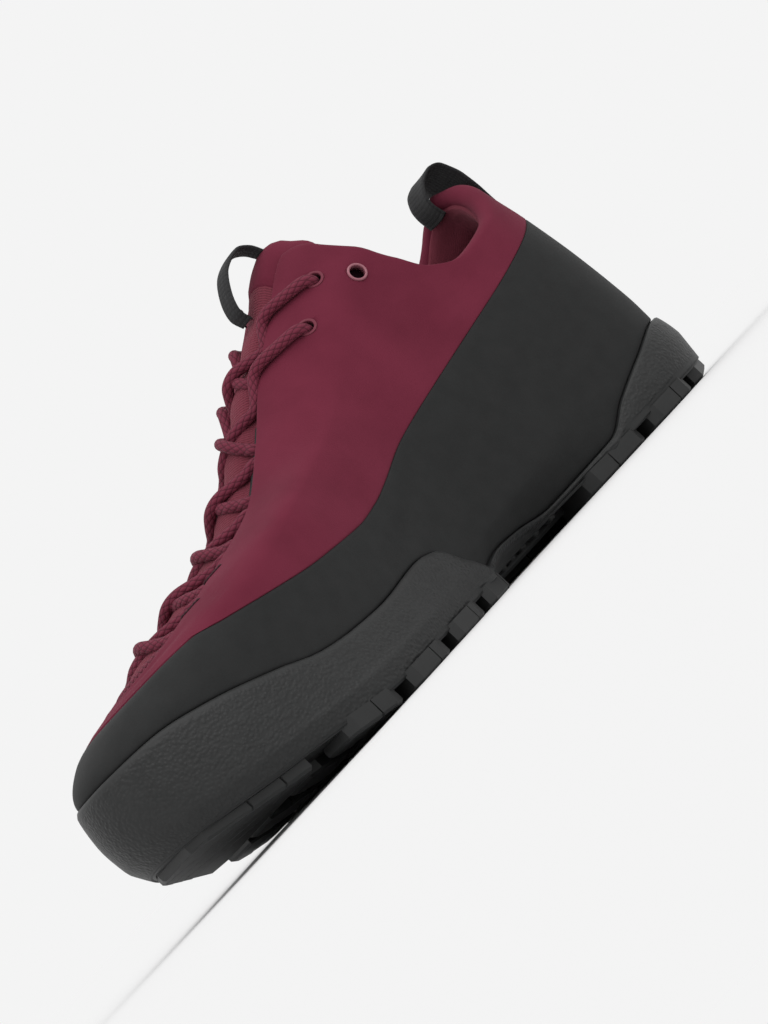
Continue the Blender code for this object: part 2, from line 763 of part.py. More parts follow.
def lug_solid(form, row, lift=0.0):
    """One lug, an eight-sided block from inside the sole's underside to this lift over the tread."""
    middle = (row.back + row.front) / 2
    nick = 0.10 * abs(row.inner - row.outer)
    plan = [
        (row.back + LUG_CORNER, row.inner),
        (row.front - LUG_CORNER, row.inner + row.skew),
        (row.front, row.inner + row.skew - nick),
        (row.front, row.outer + row.skew + nick),
        (row.front - LUG_CORNER, row.outer + row.skew),
        (row.back + LUG_CORNER, row.outer),
        (row.back, row.outer + nick),
        (row.back, row.inner - nick),
    ]
    centre = sum(across for _, across in plan) / len(plan)
    ground = [form.verts.new(tread_point(s, a, tread_height(s) + lift)) for s, a in plan]
    root = []
    for s, a in plan:
        wide_s = middle + (s - middle) * 1.04
        wide_a = centre + (a - centre) * 1.04 if abs(a) < 0.9 else a
        root.append(form.verts.new(tread_point(wide_s, wide_a, base_height(wide_s) + LUG_ROOT)))
    form.faces.new(ground)
    form.faces.new(list(reversed(root)))
    for i in range(len(plan)):
        j = (i + 1) % len(plan)
        form.faces.new((ground[j], ground[i], root[i], root[j]))


def rib_solid(form, station):
    """One rib of the hollow beside the shank plate, swept back from the inner edge."""
    half = RIB_THICKNESS / 2 / LAST_LENGTH
    sections = []
    for share in shares(0.0, 1.0, 3):
        middle = station - RIB_SWEEP * share ** 2
        across = RIB_ACROSS[0] + (RIB_ACROSS[1] - RIB_ACROSS[0]) * share
        corners = []
        for s, rise in ((middle - half, -RIB_HEIGHT), (middle + half, -RIB_HEIGHT)):
            corners.append(form.verts.new(tread_point(s, across, base_height(s) + rise)))
        for s in (middle + half, middle - half):
            corners.append(form.verts.new(tread_point(s, across, base_height(s) + LUG_ROOT)))
        sections.append(corners)
    for before, after in zip(sections, sections[1:]):
        for i in range(4):
            j = (i + 1) % 4
            form.faces.new((before[i], before[j], after[j], after[i]))
    form.faces.new(list(reversed(sections[0])))
    form.faces.new(sections[-1])


def object_from(form, name):
    """An object without a finish from an edited mesh, its faces pointing outwards."""
    bmesh.ops.recalc_face_normals(form, faces=form.faces)
    bmesh.ops.triangulate(form, faces=form.faces)
    mesh = bpy.data.meshes.new(name)
    form.to_mesh(mesh)
    form.free()
    thing = bpy.data.objects.new(name, mesh)
    bpy.context.scene.collection.objects.link(thing)
    return thing


def inlay_prism(grow, low, high):
    """A lozenge with round ends along the shank plate, between two heights."""
    centre = tread_point(INLAY_STATION, INLAY_ACROSS, 0.0)
    ahead = tread_point(INLAY_STATION + 0.05, INLAY_ACROSS, 0.0)
    along = (ahead - centre).normalized()
    beside = Vector((-along.y, along.x, 0))
    length, width = INLAY_LENGTH / 2 + grow, INLAY_WIDTH / 2 + grow
    outline = []
    for i in range(INLAY_SIDES):
        angle = 2 * math.pi * i / INLAY_SIDES
        squared = abs(math.sin(angle)) ** 0.8 * math.copysign(1, math.sin(angle))
        outline.append(centre + along * length * math.cos(angle) + beside * width * squared)
    form = bmesh.new()
    rings = [[form.verts.new(p + Vector((0, 0, z))) for p in outline] for z in (low, high)]
    form.faces.new(reversed(rings[0]))
    form.faces.new(rings[1])
    for i in range(INLAY_SIDES):
        j = (i + 1) % INLAY_SIDES
        form.faces.new((rings[0][i], rings[0][j], rings[1][j], rings[1][i]))
    return form


def build_outsole(columns, rubber):
    """The rubber sole, whose sidewall climbs the upper, with its lugs, shank plate and ribs."""
    sole = capped_round("outsole", [sole_profile(column) for column in columns], 3, rubber)
    lugs = bmesh.new()
    for row in LUG_ROWS:
        lug_solid(lugs, row)
    boolean(sole, "UNION", object_from(lugs, "lugs"))
    plate = bmesh.new()
    lug_solid(plate, SHANK_PLATE, SHANK_LIFT)
    boolean(sole, "UNION", object_from(plate, "shank plate"))
    ribs = bmesh.new()
    for station in RIB_STATIONS:
        rib_solid(ribs, station)
    boolean(sole, "UNION", object_from(ribs, "ribs"))
    pocket = inlay_prism(FIT_GAP, SHANK_LIFT - INLAY_DEPTH, SHANK_LIFT + INLAY_DEPTH + FIT_GAP)
    boolean(sole, "DIFFERENCE", object_from(pocket, "inlay pocket"))
    return sole


def build_inlay(enamel):
    """The plain lozenge set in the shank plate."""
    inlay = object_from(inlay_prism(0.0, SHANK_LIFT, SHANK_LIFT + INLAY_DEPTH), "arch_inlay")
    inlay.data.materials.append(enamel)
    return inlay


def build_insole(columns, foam):
    """The removable insole, inside the upper's wall and on the sole's floor."""
    inset = -(UPPER_WALL + FIT_GAP + 0.0004)
    profiles = []
    for column in columns:
        low = off_place(column.low(column.floor), inset)
        high = low.copy()
        low.z = floor_height(low.x / LAST_LENGTH + 0.5)
        high.z = low.z + INSOLE_THICKNESS
        profiles.append([low, high])
    return capped_round("insole", profiles, 1, foam)


def build_tongue(textile):
    """The padded tongue, close under the throat's edges and rounded at its top."""
    rows, across = 14, 8
    sink = UPPER_WALL + KEEPER_THICKNESS + 2 * FIT_GAP
    throat_foot = TOP_LINE[0].level
    outer, inner = [], []
    for i in range(rows + 1):
        level = TONGUE_BOTTOM + (TONGUE_TOP - TONGUE_BOTTOM) * i / rows
        reach = 0.17 + 0.11 * max(0.0, (level - 0.75) / 0.3)
        outer_row, inner_row = [], []
        for k in range(across + 1):
            place = 2 * k / across - 1
            drop = 0.12 * place * place * max(0.0, (level - 0.8) / 0.265)
            turn = place * reach
            rim = min(1.0, 4 * (1 - abs(place)) + 0.35, 2.5 * (rows - i) / rows + 0.45)
            crown = sink * CROWN["height"].at(abs(place)) * min(max((level - throat_foot) / 0.05, 0.0), 1.0)
            outer_row.append(off_last(level - drop, turn, crown - sink))
            inner_row.append(off_last(level - drop, turn, -sink - TONGUE_THICKNESS * rim))
        outer.append(outer_row)
        inner.append(inner_row)
    return sheet_mesh("tongue", outer, inner, textile)


def build_padding(columns, textile):
    """The collar's padded roll, inside the upper from the ankle round the heel."""
    columns = [column for column in columns if abs(column.top[0]) > PADDING_FRONT]
    start = UPPER_WALL + SEWN_GAP
    last = len(columns) - 1
    outer, inner = [], []
    for i, column in enumerate(columns):
        taper = min(1.0, 0.25 + 5 * i / last, 0.25 + 5 * (last - i) / last)
        places = [(column.below_top(PADDING_DEPTH * row.depth), row.thickness) for row in PADDING_ROWS]
        outer.append([off_place(place, -start) for place, _ in places])
        inner.append([off_place(place, -start - PADDING_THICKNESS * part * taper) for place, part in places])
    return sheet_mesh("collar_padding", outer, inner, textile)


def build_loop(name, rows, middle_turn, reach, base, webbing):
    """A webbing loop that follows rows of level and clearance over the last."""
    knots = [i / (len(rows) - 1) for i in range(len(rows))]
    level_at = Curve(knots, [row.level for row in rows])
    out_at = Curve(knots, [base + WEBBING_THICKNESS * row.out for row in rows])
    steps, across = 18, 2
    centres = []
    for i in range(steps + 1):
        share = i / steps
        centres.append([
            off_last(level_at.at(share), middle_turn + reach * (2 * k / across - 1), out_at.at(share))
            for k in range(across + 1)
        ])
    outer, inner = [], []
    for i in range(steps + 1):
        ahead, behind = centres[min(i + 1, steps)], centres[max(i - 1, 0)]
        outer_row, inner_row = [], []
        for k in range(across + 1):
            along = ahead[k] - behind[k]
            over = centres[i][min(k + 1, across)] - centres[i][max(k - 1, 0)]
            normal = along.cross(over).normalized()
            outer_row.append(centres[i][k] + normal * WEBBING_THICKNESS / 2)
            inner_row.append(centres[i][k] - normal * WEBBING_THICKNESS / 2)
        outer.append(outer_row)
        inner.append(inner_row)
    return sheet_mesh(name, outer, inner, webbing)


def build_keepers(webbing):
    """The webbing strips under the throat's edges that hold the lower rows of lace."""
    made = []
    sink = UPPER_WALL + FIT_GAP
    for name, side in (("inner", 1), ("outer", -1)):
        outer, inner = [], []
        for i in range(11):
            level = KEEPER_SPAN[0] + (KEEPER_SPAN[1] - KEEPER_SPAN[0]) * i / 10
            turns = [side * (KEEPER_REACH[0] + (KEEPER_REACH[1] - KEEPER_REACH[0]) * k / 2) for k in range(3)]
            outer.append([off_last(level, turn, -sink) for turn in turns])
            inner.append([off_last(level, turn, -sink - KEEPER_THICKNESS) for turn in turns])
        made.append(sheet_mesh(f"lace_keeper_{name}", outer, inner, webbing))
    return made


def tube(name, points, radius, sides):
    """A closed round bar along a path."""
    rings = []
    normal = None
    for i, point in enumerate(points):
        along = (points[min(i + 1, len(points) - 1)] - points[max(i - 1, 0)]).normalized()
        if normal is None:
            normal = along.orthogonal().normalized()
        normal = (normal - along * normal.dot(along)).normalized()
        other = along.cross(normal)
        rings.append([
            point
            + normal * radius * math.cos(2 * math.pi * k / sides)
            + other * radius * math.sin(2 * math.pi * k / sides)
            for k in range(sides)
        ])
    vertices = [p for ring in rings for p in ring]
    faces = [tuple(range(sides)), tuple((len(rings) - 1) * sides + k for k in reversed(range(sides)))]
    for i in range(len(rings) - 1):
        for k in range(sides):
            after = (k + 1) % sides
            faces.append((i * sides + k, (i + 1) * sides + k, (i + 1) * sides + after, i * sides + after))
    return mesh_object(name, vertices, faces, None)


def build_laces(cord):
    """The lace's crossings over the tongue, each two bars joined where they cross."""
    lift = LACE_DIAMETER / 2 + FIT_GAP
    made = []
    for index, (low, high) in enumerate(zip(LACE_ROWS, LACE_ROWS[1:])):
        bars = []
        for side in (1, -1):
            points = []
            for k in range(LACE_STEPS + 1):
                share = k / LACE_STEPS
                start, end = low.level + LACE_END_GAP, high.level - LACE_END_GAP
                turn = side * (low.reach + (-high.reach - low.reach) * share)
                rise = LACE_DIAMETER * 0.35 * (1 + side) * math.sin(math.pi * share)
                points.append(off_last(start + (end - start) * share, turn, lift + rise))
            bars.append(tube(f"lace_crossing_{index + 1}", points, LACE_DIAMETER / 2, 7))
        boolean(bars[0], "UNION", bars[1])
        bars[0].data.materials.append(cord)
        made.append(bars[0])
    return made


def build_eyelets(metal):
    """The eyelets, each a flange over the upper with a barrel through its wall."""
    bore, barrel = EYELET_BORE / 2, EYELET_HOLE / 2 - FIT_GAP
    top = FIT_GAP + EYELET_FLANGE
    profile = [
        (bore, top),
        (EYELET_OUTER / 2, top),
        (EYELET_OUTER / 2, FIT_GAP),
        (barrel, FIT_GAP),
        (barrel, -UPPER_WALL),
        (bore, -UPPER_WALL),
    ]
    made = []
    for row in EYELETS:
        for name, side in (("inner", 1), ("outer", -1)):
            frame = frame_at(row.level, side * row.turn)
            made.append(revolved(f"eyelet_{row.name}_{name}", profile, 10, frame, metal))
    return made


def centre_on_ground(sole):
    """Moves every piece so that the middle of the sole's box stands over the origin."""
    xs = [vertex.co.x for vertex in sole.data.vertices]
    ys = [vertex.co.y for vertex in sole.data.vertices]
    zs = [vertex.co.z for vertex in sole.data.vertices]
    shift = Vector((-(min(xs) + max(xs)) / 2, -(min(ys) + max(ys)) / 2, -min(zs)))
    for thing in bpy.data.objects:
        thing.data.transform(Matrix.Translation(shift))


def main():
    for thing in list(bpy.data.objects):
        bpy.data.objects.remove(thing)
    suede = material("burgundy nubuck", (0.155, 0.027, 0.046), 0.85)
    rubberised = material("charcoal rand", (0.028, 0.028, 0.028), 0.75)
    rubber = material("black rubber", (0.030, 0.031, 0.031), 0.60)
    foam = material("insole foam", (0.060, 0.060, 0.065), 0.90)
    textile = material("burgundy textile", (0.130, 0.025, 0.040), 0.90)
    cord = material("burgundy cord", (0.120, 0.020, 0.035), 0.80)
    webbing = material("black webbing", (0.012, 0.012, 0.012), 0.85)
    metal = material("painted metal", (0.130, 0.030, 0.045), 0.45, 0.3)
    enamel = material("amber inlay", (0.776, 0.328, 0.012), 0.40)
    columns = all_columns()
    build_upper(columns, suede)
    build_rand(columns, rubberised)
    sole = build_outsole(columns, rubber)
    build_inlay(enamel)
    build_insole(columns, foam)
    build_tongue(textile)
    build_padding(columns, textile)
    seat = FIT_GAP + WEBBING_THICKNESS / 2
    build_loop("tongue_loop", TONGUE_LOOP, 0.0, TONGUE_LOOP_REACH, seat, webbing)
    build_loop("heel_loop", HEEL_LOOP, 1.0, HEEL_LOOP_REACH, seat, webbing)
    build_keepers(webbing)
    build_laces(cord)
    build_eyelets(metal)
    centre_on_ground(sole)


main()
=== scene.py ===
"""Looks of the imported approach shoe, a right shoe that stands empty on its sole.

Metres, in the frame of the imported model: +X to the toe, +Y to the inner side of the foot, +Z up.
Every piece follows the same last as the solids do. A place on the last is a level (BASE_LEVEL at
the sole's underside, 0 at the inner floor, 1 at the collar's top) and a turn (0 at the toe side of
a section, 1 at the heel, positive on the foot's inner side).
"""

import logging
import math
from dataclasses import dataclass, field
from enum import Enum
from typing import Callable, NamedTuple, Sequence

import bmesh
import bpy
import numpy as np
from mathutils import Matrix, Vector

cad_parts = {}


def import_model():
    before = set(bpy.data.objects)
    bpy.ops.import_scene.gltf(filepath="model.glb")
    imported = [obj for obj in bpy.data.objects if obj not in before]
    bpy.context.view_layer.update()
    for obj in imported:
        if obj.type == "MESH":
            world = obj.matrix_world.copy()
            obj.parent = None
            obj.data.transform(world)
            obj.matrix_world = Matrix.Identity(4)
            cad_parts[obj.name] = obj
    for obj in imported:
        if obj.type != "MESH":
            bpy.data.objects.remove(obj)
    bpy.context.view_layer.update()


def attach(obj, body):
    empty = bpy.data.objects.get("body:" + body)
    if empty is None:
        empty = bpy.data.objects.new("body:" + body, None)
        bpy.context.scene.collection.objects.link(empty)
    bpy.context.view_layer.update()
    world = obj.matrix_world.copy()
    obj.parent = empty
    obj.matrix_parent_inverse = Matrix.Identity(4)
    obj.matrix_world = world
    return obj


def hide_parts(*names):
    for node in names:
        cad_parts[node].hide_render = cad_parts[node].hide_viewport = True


log = logging.getLogger("scene")
Array = np.ndarray
Colour = tuple[float, float, float]
MM = 0.001
BODY = "root"

# What moves the last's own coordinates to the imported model's.
SHIFT = np.array([-0.0016926, -0.0003539, 0.0])
BASE_LEVEL = -0.20
BULGE_LEVEL = 0.28
FIT_GAP = 0.3 * MM
UPPER_WALL = 2.2 * MM
KEEPER_THICKNESS = 1.0 * MM


def cubic(
    share: Array, step: Array | float, start: Array, end: Array, slope: Array, last_slope: Array
) -> Array:
    """A cubic between two values.

    Args:
        share: how far along, from 0 to 1.
        step: the distance that the share covers.
        start: the value at 0.
        end: the value at 1.
        slope: the slope at 0.
        last_slope: the slope at 1.

    Returns:
        The values at the shares.
    """
    return (
        start * (1 + 2 * share) * (1 - share) ** 2
        + slope * step * share * (1 - share) ** 2
        + end * share * share * (3 - 2 * share)
        + last_slope * step * share * share * (share - 1)
    )


class Curve:
    """A smooth curve through the rows of a table, which never overshoots them."""

    def __init__(self, keys: Sequence[float], values: Sequence[float]) -> None:
        """Works out the slopes.

        Args:
            keys: rising places of the rows.
            values: what the curve is at each place.
        """
        self.keys = np.asarray(keys, float)
        self.values = np.asarray(values, float)
        rises = np.diff(self.values) / np.diff(self.keys)
        before, after = rises[:-1], rises[1:]
        same = before * after > 0
        middle = np.where(same, 2 * before * after / np.where(same, before + after, 1.0), 0.0)
        self.slopes = np.concatenate([rises[:1], middle, rises[-1:]])

    def at(self, key: Array | float) -> Array:
        """The curve's value at one or many places.

        Args:
            key: one or many places along the curve.

        Returns:
            the values, in the places' shape.
        """
        key = np.clip(key, self.keys[0], self.keys[-1])
        i = np.clip(np.searchsorted(self.keys, key, side="right") - 1, 0, len(self.keys) - 2)
        step = self.keys[i + 1] - self.keys[i]
        share = (key - self.keys[i]) / step
        return cubic(
            share, step, self.values[i], self.values[i + 1], self.slopes[i], self.slopes[i + 1]
        )


def table(names: str, rows: Sequence[Sequence[float]]) -> dict[str, Curve]:
    """Curves for the columns of a table, keyed by its first column.

    Args:
        names: the names of the columns after the first.
        rows: the table's rows.

    Returns:
        One curve for each name.
    """
    keys = [row[0] for row in rows]
    return {name: Curve(keys, [row[i + 1] for row in rows]) for i, name in enumerate(names.split())}


# level: where the section starts and ends, as shares of the length, and how high, of the rise.
RING = table(
    "heel_in heel_up front_in front_up front_round",
    [
        (-0.20, 0.012, -0.19, 0.012, -0.06, 0.230),
        (0.00, 0.004, 0.00, 0.000, 0.00, 0.240),
        (0.10, 0.003, 0.12, -0.008, 0.105, 0.240),
        (0.20, 0.006, 0.25, -0.004, 0.222, 0.235),
        (0.30, 0.010, 0.37, 0.036, 0.308, 0.230),
        (0.40, 0.014, 0.48, 0.138, 0.362, 0.215),
        (0.50, 0.018, 0.58, 0.252, 0.412, 0.200),
        (0.60, 0.022, 0.68, 0.352, 0.470, 0.185),
        (0.70, 0.027, 0.77, 0.442, 0.590, 0.175),
        (0.80, 0.032, 0.86, 0.528, 0.735, 0.165),
        (0.90, 0.040, 0.93, 0.615, 0.865, 0.160),
        (1.00, 0.052, 1.00, 0.700, 1.000, 0.155),
        (1.12, 0.068, 1.09, 0.750, 1.050, 0.150),
    ],
)
# station: the middle line and the half breadths, as shares of the width.
STATION = table(
    "centre foot bulge top",
    [
        (0.00, -0.020, 0.345, 0.350, 0.290),
        (0.15, -0.022, 0.350, 0.362, 0.300),
        (0.30, -0.045, 0.325, 0.345, 0.300),
        (0.42, -0.052, 0.310, 0.345, 0.300),
        (0.55, -0.035, 0.385, 0.400, 0.330),
        (0.66, -0.012, 0.470, 0.475, 0.380),
        (0.74, 0.008, 0.488, 0.490, 0.400),
        (0.85, 0.040, 0.455, 0.460, 0.400),
        (1.00, 0.095, 0.400, 0.410, 0.380),
    ],
)
# station: shares of the heel stack, toe spring, arch rise, arch tuck and sole flare.
SOLE = table(
    "floor rise arch tuck_in tuck_out flare",
    [
        (0.00, 1.00, 0.12, 0.0, 0.10, 0.10, 0.75),
        (0.07, 0.99, 0.00, 0.0, 0.05, 0.05, 0.70),
        (0.22, 0.95, 0.00, 0.0, 0.10, 0.05, 0.50),
        (0.30, 0.91, 0.00, 0.6, 0.55, 0.00, 0.45),
        (0.38, 0.85, 0.00, 1.0, 1.00, 0.00, 0.40),
        (0.45, 0.78, 0.00, 0.6, 0.75, 0.10, 0.45),
        (0.51, 0.71, 0.00, 0.2, 0.10, 0.12, 0.80),
        (0.60, 0.65, 0.00, 0.0, 0.10, 0.05, 1.00),
        (0.72, 0.62, 0.00, 0.0, 0.05, 0.05, 1.00),
        (0.86, 0.76, 0.38, 0.0, 0.15, 0.12, 0.95),
        (1.00, 1.15, 1.00, 0.0, 0.40, 0.40, 0.80),
    ],
)
# station: height of the rubber's top line over the ground, as shares of its height at the toe.
RUBBER = table(
    "inner outer",
    [
        (0.000, 0.53, 0.53),
        (0.060, 0.52, 0.52),
        (0.135, 0.41, 0.42),
        (0.190, 0.30, 0.33),
        (0.235, 0.17, 0.26),
        (0.330, 0.16, 0.25),
        (0.385, 0.21, 0.27),
        (0.435, 0.23, 0.29),
        (0.482, 0.19, 0.32),
        (0.510, 0.34, 0.42),
        (0.535, 0.51, 0.50),
        (0.571, 0.55, 0.53),
        (0.660, 0.52, 0.52),
        (0.720, 0.54, 0.54),
        (0.771, 0.59, 0.58),
        (0.816, 0.70, 0.68),
        (0.896, 0.88, 0.86),
        (0.950, 0.97, 0.96),
        (1.000, 1.00, 1.00),
    ],
)
# turn: level of the rand's top edge.
RAND = table(
    "level",
    [
        (0.000, 0.335),
        (0.158, 0.333),
        (0.210, 0.326),
        (0.265, 0.289),
        (0.332, 0.251),
        (0.391, 0.227),
        (0.446, 0.219),
        (0.474, 0.230),
        (0.497, 0.253),
        (0.533, 0.310),
        (0.604, 0.390),
        (0.695, 0.467),
        (0.764, 0.518),
        (0.860, 0.570),
        (1.000, 0.600),
    ],
)
# share of the way round: where a column stands on the underside's edge and on the top line.
COLUMN = table(
    "base top",
    [
        (0.00, 0.00, 0.00),
        (0.15, 0.17, 0.07),
        (0.33, 0.42, 0.27),
        (0.52, 0.53, 0.43),
        (0.64, 0.67, 0.62),
        (0.80, 0.81, 0.77),
        (1.00, 1.00, 1.00),
    ],
)
# (turn, level) of the upper's top line, from the throat's foot round the collar to the heel.
TOP_LINE = [
    (0.000, 0.380),
    (0.070, 0.386),
    (0.115, 0.430),
    (0.122, 0.560),
    (0.118, 0.700),
    (0.114, 0.850),
    (0.120, 0.945),
    (0.155, 0.980),
    (0.220, 0.972),
    (0.300, 0.943),
    (0.400, 0.893),
    (0.500, 0.808),
    (0.570, 0.718),
    (0.640, 0.662),
    (0.720, 0.690),
    (0.800, 0.790),
    (0.880, 0.920),
    (1.000, 1.000),
]


def smooth(value: Array | float, low: float, high: float) -> Array:
    """0 below low, 1 above high and a soft ramp between them."""
    share = np.clip((np.asarray(value, float) - low) / (high - low), 0.0, 1.0)
    return share * share * (3 - 2 * share)


def unit(vectors: Array) -> Array:
    """The same vectors, each of length one."""
    return vectors / np.maximum(np.linalg.norm(vectors, axis=-1, keepdims=True), 1e-12)


def run(line: Array) -> Array:
    """How far along a line each of its points lies."""
    steps = np.linalg.norm(np.diff(line, axis=0), axis=1)
    return np.concatenate([[0.0], np.cumsum(steps)])


def rounded(depth: Array, radius: Array | float) -> Array:
    """How much of the full breadth a round end has at this depth from its tip."""
    share = np.clip(depth / radius, 0.0, 1.0)
    return np.sqrt(np.maximum(1 - (1 - share) ** 2, 0.0))


@dataclass(frozen=True)
class Last:
    """The form that the whole shoe follows."""

    length: float = 0.280
    width: float = 0.098
    heel_height: float = 0.107
    instep_height: float = 0.128
    heel_curve: float = 0.034
    heel_stack: float = 0.022
    toe_spring: float = 0.015
    lug_depth: float = 0.0045
    arch_rise: float = 0.0010
    arch_tuck: float = 0.016
    sole_flare: float = 0.0052
    rubber_height: float = 0.047
    step: float = 0.004

    def floor_height(self, station: Array | float) -> Array:
        """Height of the inner floor over the ground."""
        return self.heel_stack * SOLE["floor"].at(station)

    def tread_height(self, station: Array | float) -> Array:
        """Height of the lugs' ground faces."""
        return self.toe_spring * SOLE["rise"].at(station)

    def base_height(self, station: Array | float) -> Array:
        """Height of the underside between the lugs."""
        arch = self.arch_rise * SOLE["arch"].at(station)
        return self.lug_depth + self.tread_height(station) + arch

    def flare(self, station: Array | float) -> Array:
        """How far the sole's edge stands out of the last at the ground."""
        return self.sole_flare * SOLE["flare"].at(station)

    def half_breadth(self, station: Array, level: Array, inner: Array) -> Array:
        """Half the breadth of the section.

        Args:
            station: places along the length.
            level: levels of the same places.
            inner: whether each place is on the foot's inner side.

        Returns:
            The half breadths in metres.
        """
        foot, bulge, top = (STATION[name].at(station) for name in ("foot", "bulge", "top"))
        low, high = (bulge - foot) / BULGE_LEVEL, (top - bulge) / (1 - BULGE_LEVEL)
        same = low * high > 0
        middle = np.where(same, 2 * low * high / np.where(same, low + high, 1.0), 0.0)
        up = np.clip(level, 0.0, 1.0)
        below = up < BULGE_LEVEL
        step = np.where(below, BULGE_LEVEL, 1 - BULGE_LEVEL)
        rise = np.where(below, up, up - BULGE_LEVEL) / step
        start, end = np.where(below, foot, bulge), np.where(below, bulge, top)
        slope, last_slope = np.where(below, low, middle), np.where(below, middle, high)
        share = cubic(rise, step, start, end, slope, last_slope)
        tuck = np.where(inner, SOLE["tuck_in"].at(station), SOLE["tuck_out"].at(station))
        under = np.maximum(level / BASE_LEVEL, 0.0) ** 1.5
        return self.width * share - self.arch_tuck * tuck * under

    def raw(self, level: Array | float, turn: Array | float) -> Array:
        """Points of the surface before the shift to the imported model's frame.

        Args:
            level: height on the last, BASE_LEVEL underneath to 1 at the collar.
            turn: 0 at the toe to 1 at the heel, negative on the outer side.

        Returns:
            the points, coordinates last.
        """
        level, turn = np.broadcast_arrays(np.asarray(level, float), np.asarray(turn, float))
        turn = (turn + 1) % 2 - 1
        heel_x = self.length * (RING["heel_in"].at(level) - 0.5)
        front_x = self.length * (0.5 - RING["front_in"].at(level))
        share = (1 + np.cos(np.pi * turn)) / 2
        x = heel_x + (front_x - heel_x) * share
        station = x / self.length + 0.5
        floor, base = self.floor_height(station), self.base_height(station)
        under = floor + (base - floor) * level / BASE_LEVEL
        heel_floor, toe_floor = self.floor_height(0.0), self.floor_height(1.0)
        heel_z = heel_floor + RING["heel_up"].at(level) * (self.heel_height - heel_floor)
        front_z = toe_floor + RING["front_up"].at(level) * (self.instep_height - toe_floor)
        sag = floor - heel_floor - (toe_floor - heel_floor) * share
        over = heel_z + (front_z - heel_z) * share + sag * np.maximum(0.0, 1 - level / 0.45) ** 2
        ends = rounded(front_x - x, RING["front_round"].at(level) * self.length)
        ends = ends * rounded(x - heel_x, self.heel_curve)
        half = self.half_breadth(station, level, turn >= 0)
        y = self.width * STATION["centre"].at(station) + np.where(turn >= 0, 1, -1) * half * ends
        return np.stack([x, y, np.where(level < 0, under, over)], -1)

    def point(self, level: Array | float, turn: Array | float) -> Array:
        """Points of the surface."""
        return self.raw(level, turn) + SHIFT

    def station(self, level: Array | float, turn: Array | float) -> Array:
        """Where along the length each place lies, 0 at the heel and 1 at the toe."""
        return self.raw(level, turn)[..., 0] / self.length + 0.5

    def normal(self, level: Array | float, turn: Array | float) -> Array:
        """Outward normals of the surface.

        Args:
            level: height on the last, BASE_LEVEL underneath to 1 at the collar.
            turn: 0 at the toe to 1 at the heel, negative on the outer side.

        Returns:
            unit vectors.
        """
        level, turn = np.asarray(level, float), np.asarray(turn, float)
        low = np.maximum(level - self.step, BASE_LEVEL)
        up = self.raw(level + self.step, turn) - self.raw(low, turn)
        along = self.raw(level, turn + self.step) - self.raw(level, turn - self.step)
        return unit(np.cross(along, up))

    def off(self, level: Array | float, turn: Array | float, out: Array | float) -> Array:
        """Points at this distance outside the surface, or inside where it is negative."""
        return self.point(level, turn) + self.normal(level, turn) * np.asarray(out)[..., None]

    def beside(self, level: Array | float, turn: Array | float, out: Array | float) -> Array:
        """Points at this distance outside the surface, measured level with the ground."""
        outward = self.normal(level, turn) * np.array([1.0, 1.0, 0.0])
        return self.point(level, turn) + unit(outward) * np.asarray(out)[..., None]

    def tread(self, station: Array | float, across: Array | float, height: Array | float) -> Array:
        """Points of the tread: across is 1 on its inner edge and -1 on its outer edge.

        Args:
            station: 0 at the heel to 1 at the toe.
            across: place between the edges.
            height: height over the ground.

        Returns:
            the points, coordinates last.
        """
        station = np.asarray(station, float)
        turn = np.arccos(2 * np.clip(station, 0.0, 1.0) - 1) / np.pi
        flare = self.flare(station)
        inner, outer = self.beside(BASE_LEVEL, turn, flare), self.beside(BASE_LEVEL, -turn, flare)
        share = ((1 - np.asarray(across, float)) / 2)[..., None]
        place = inner + (outer - inner) * share
        place[..., 2] = height
        return place


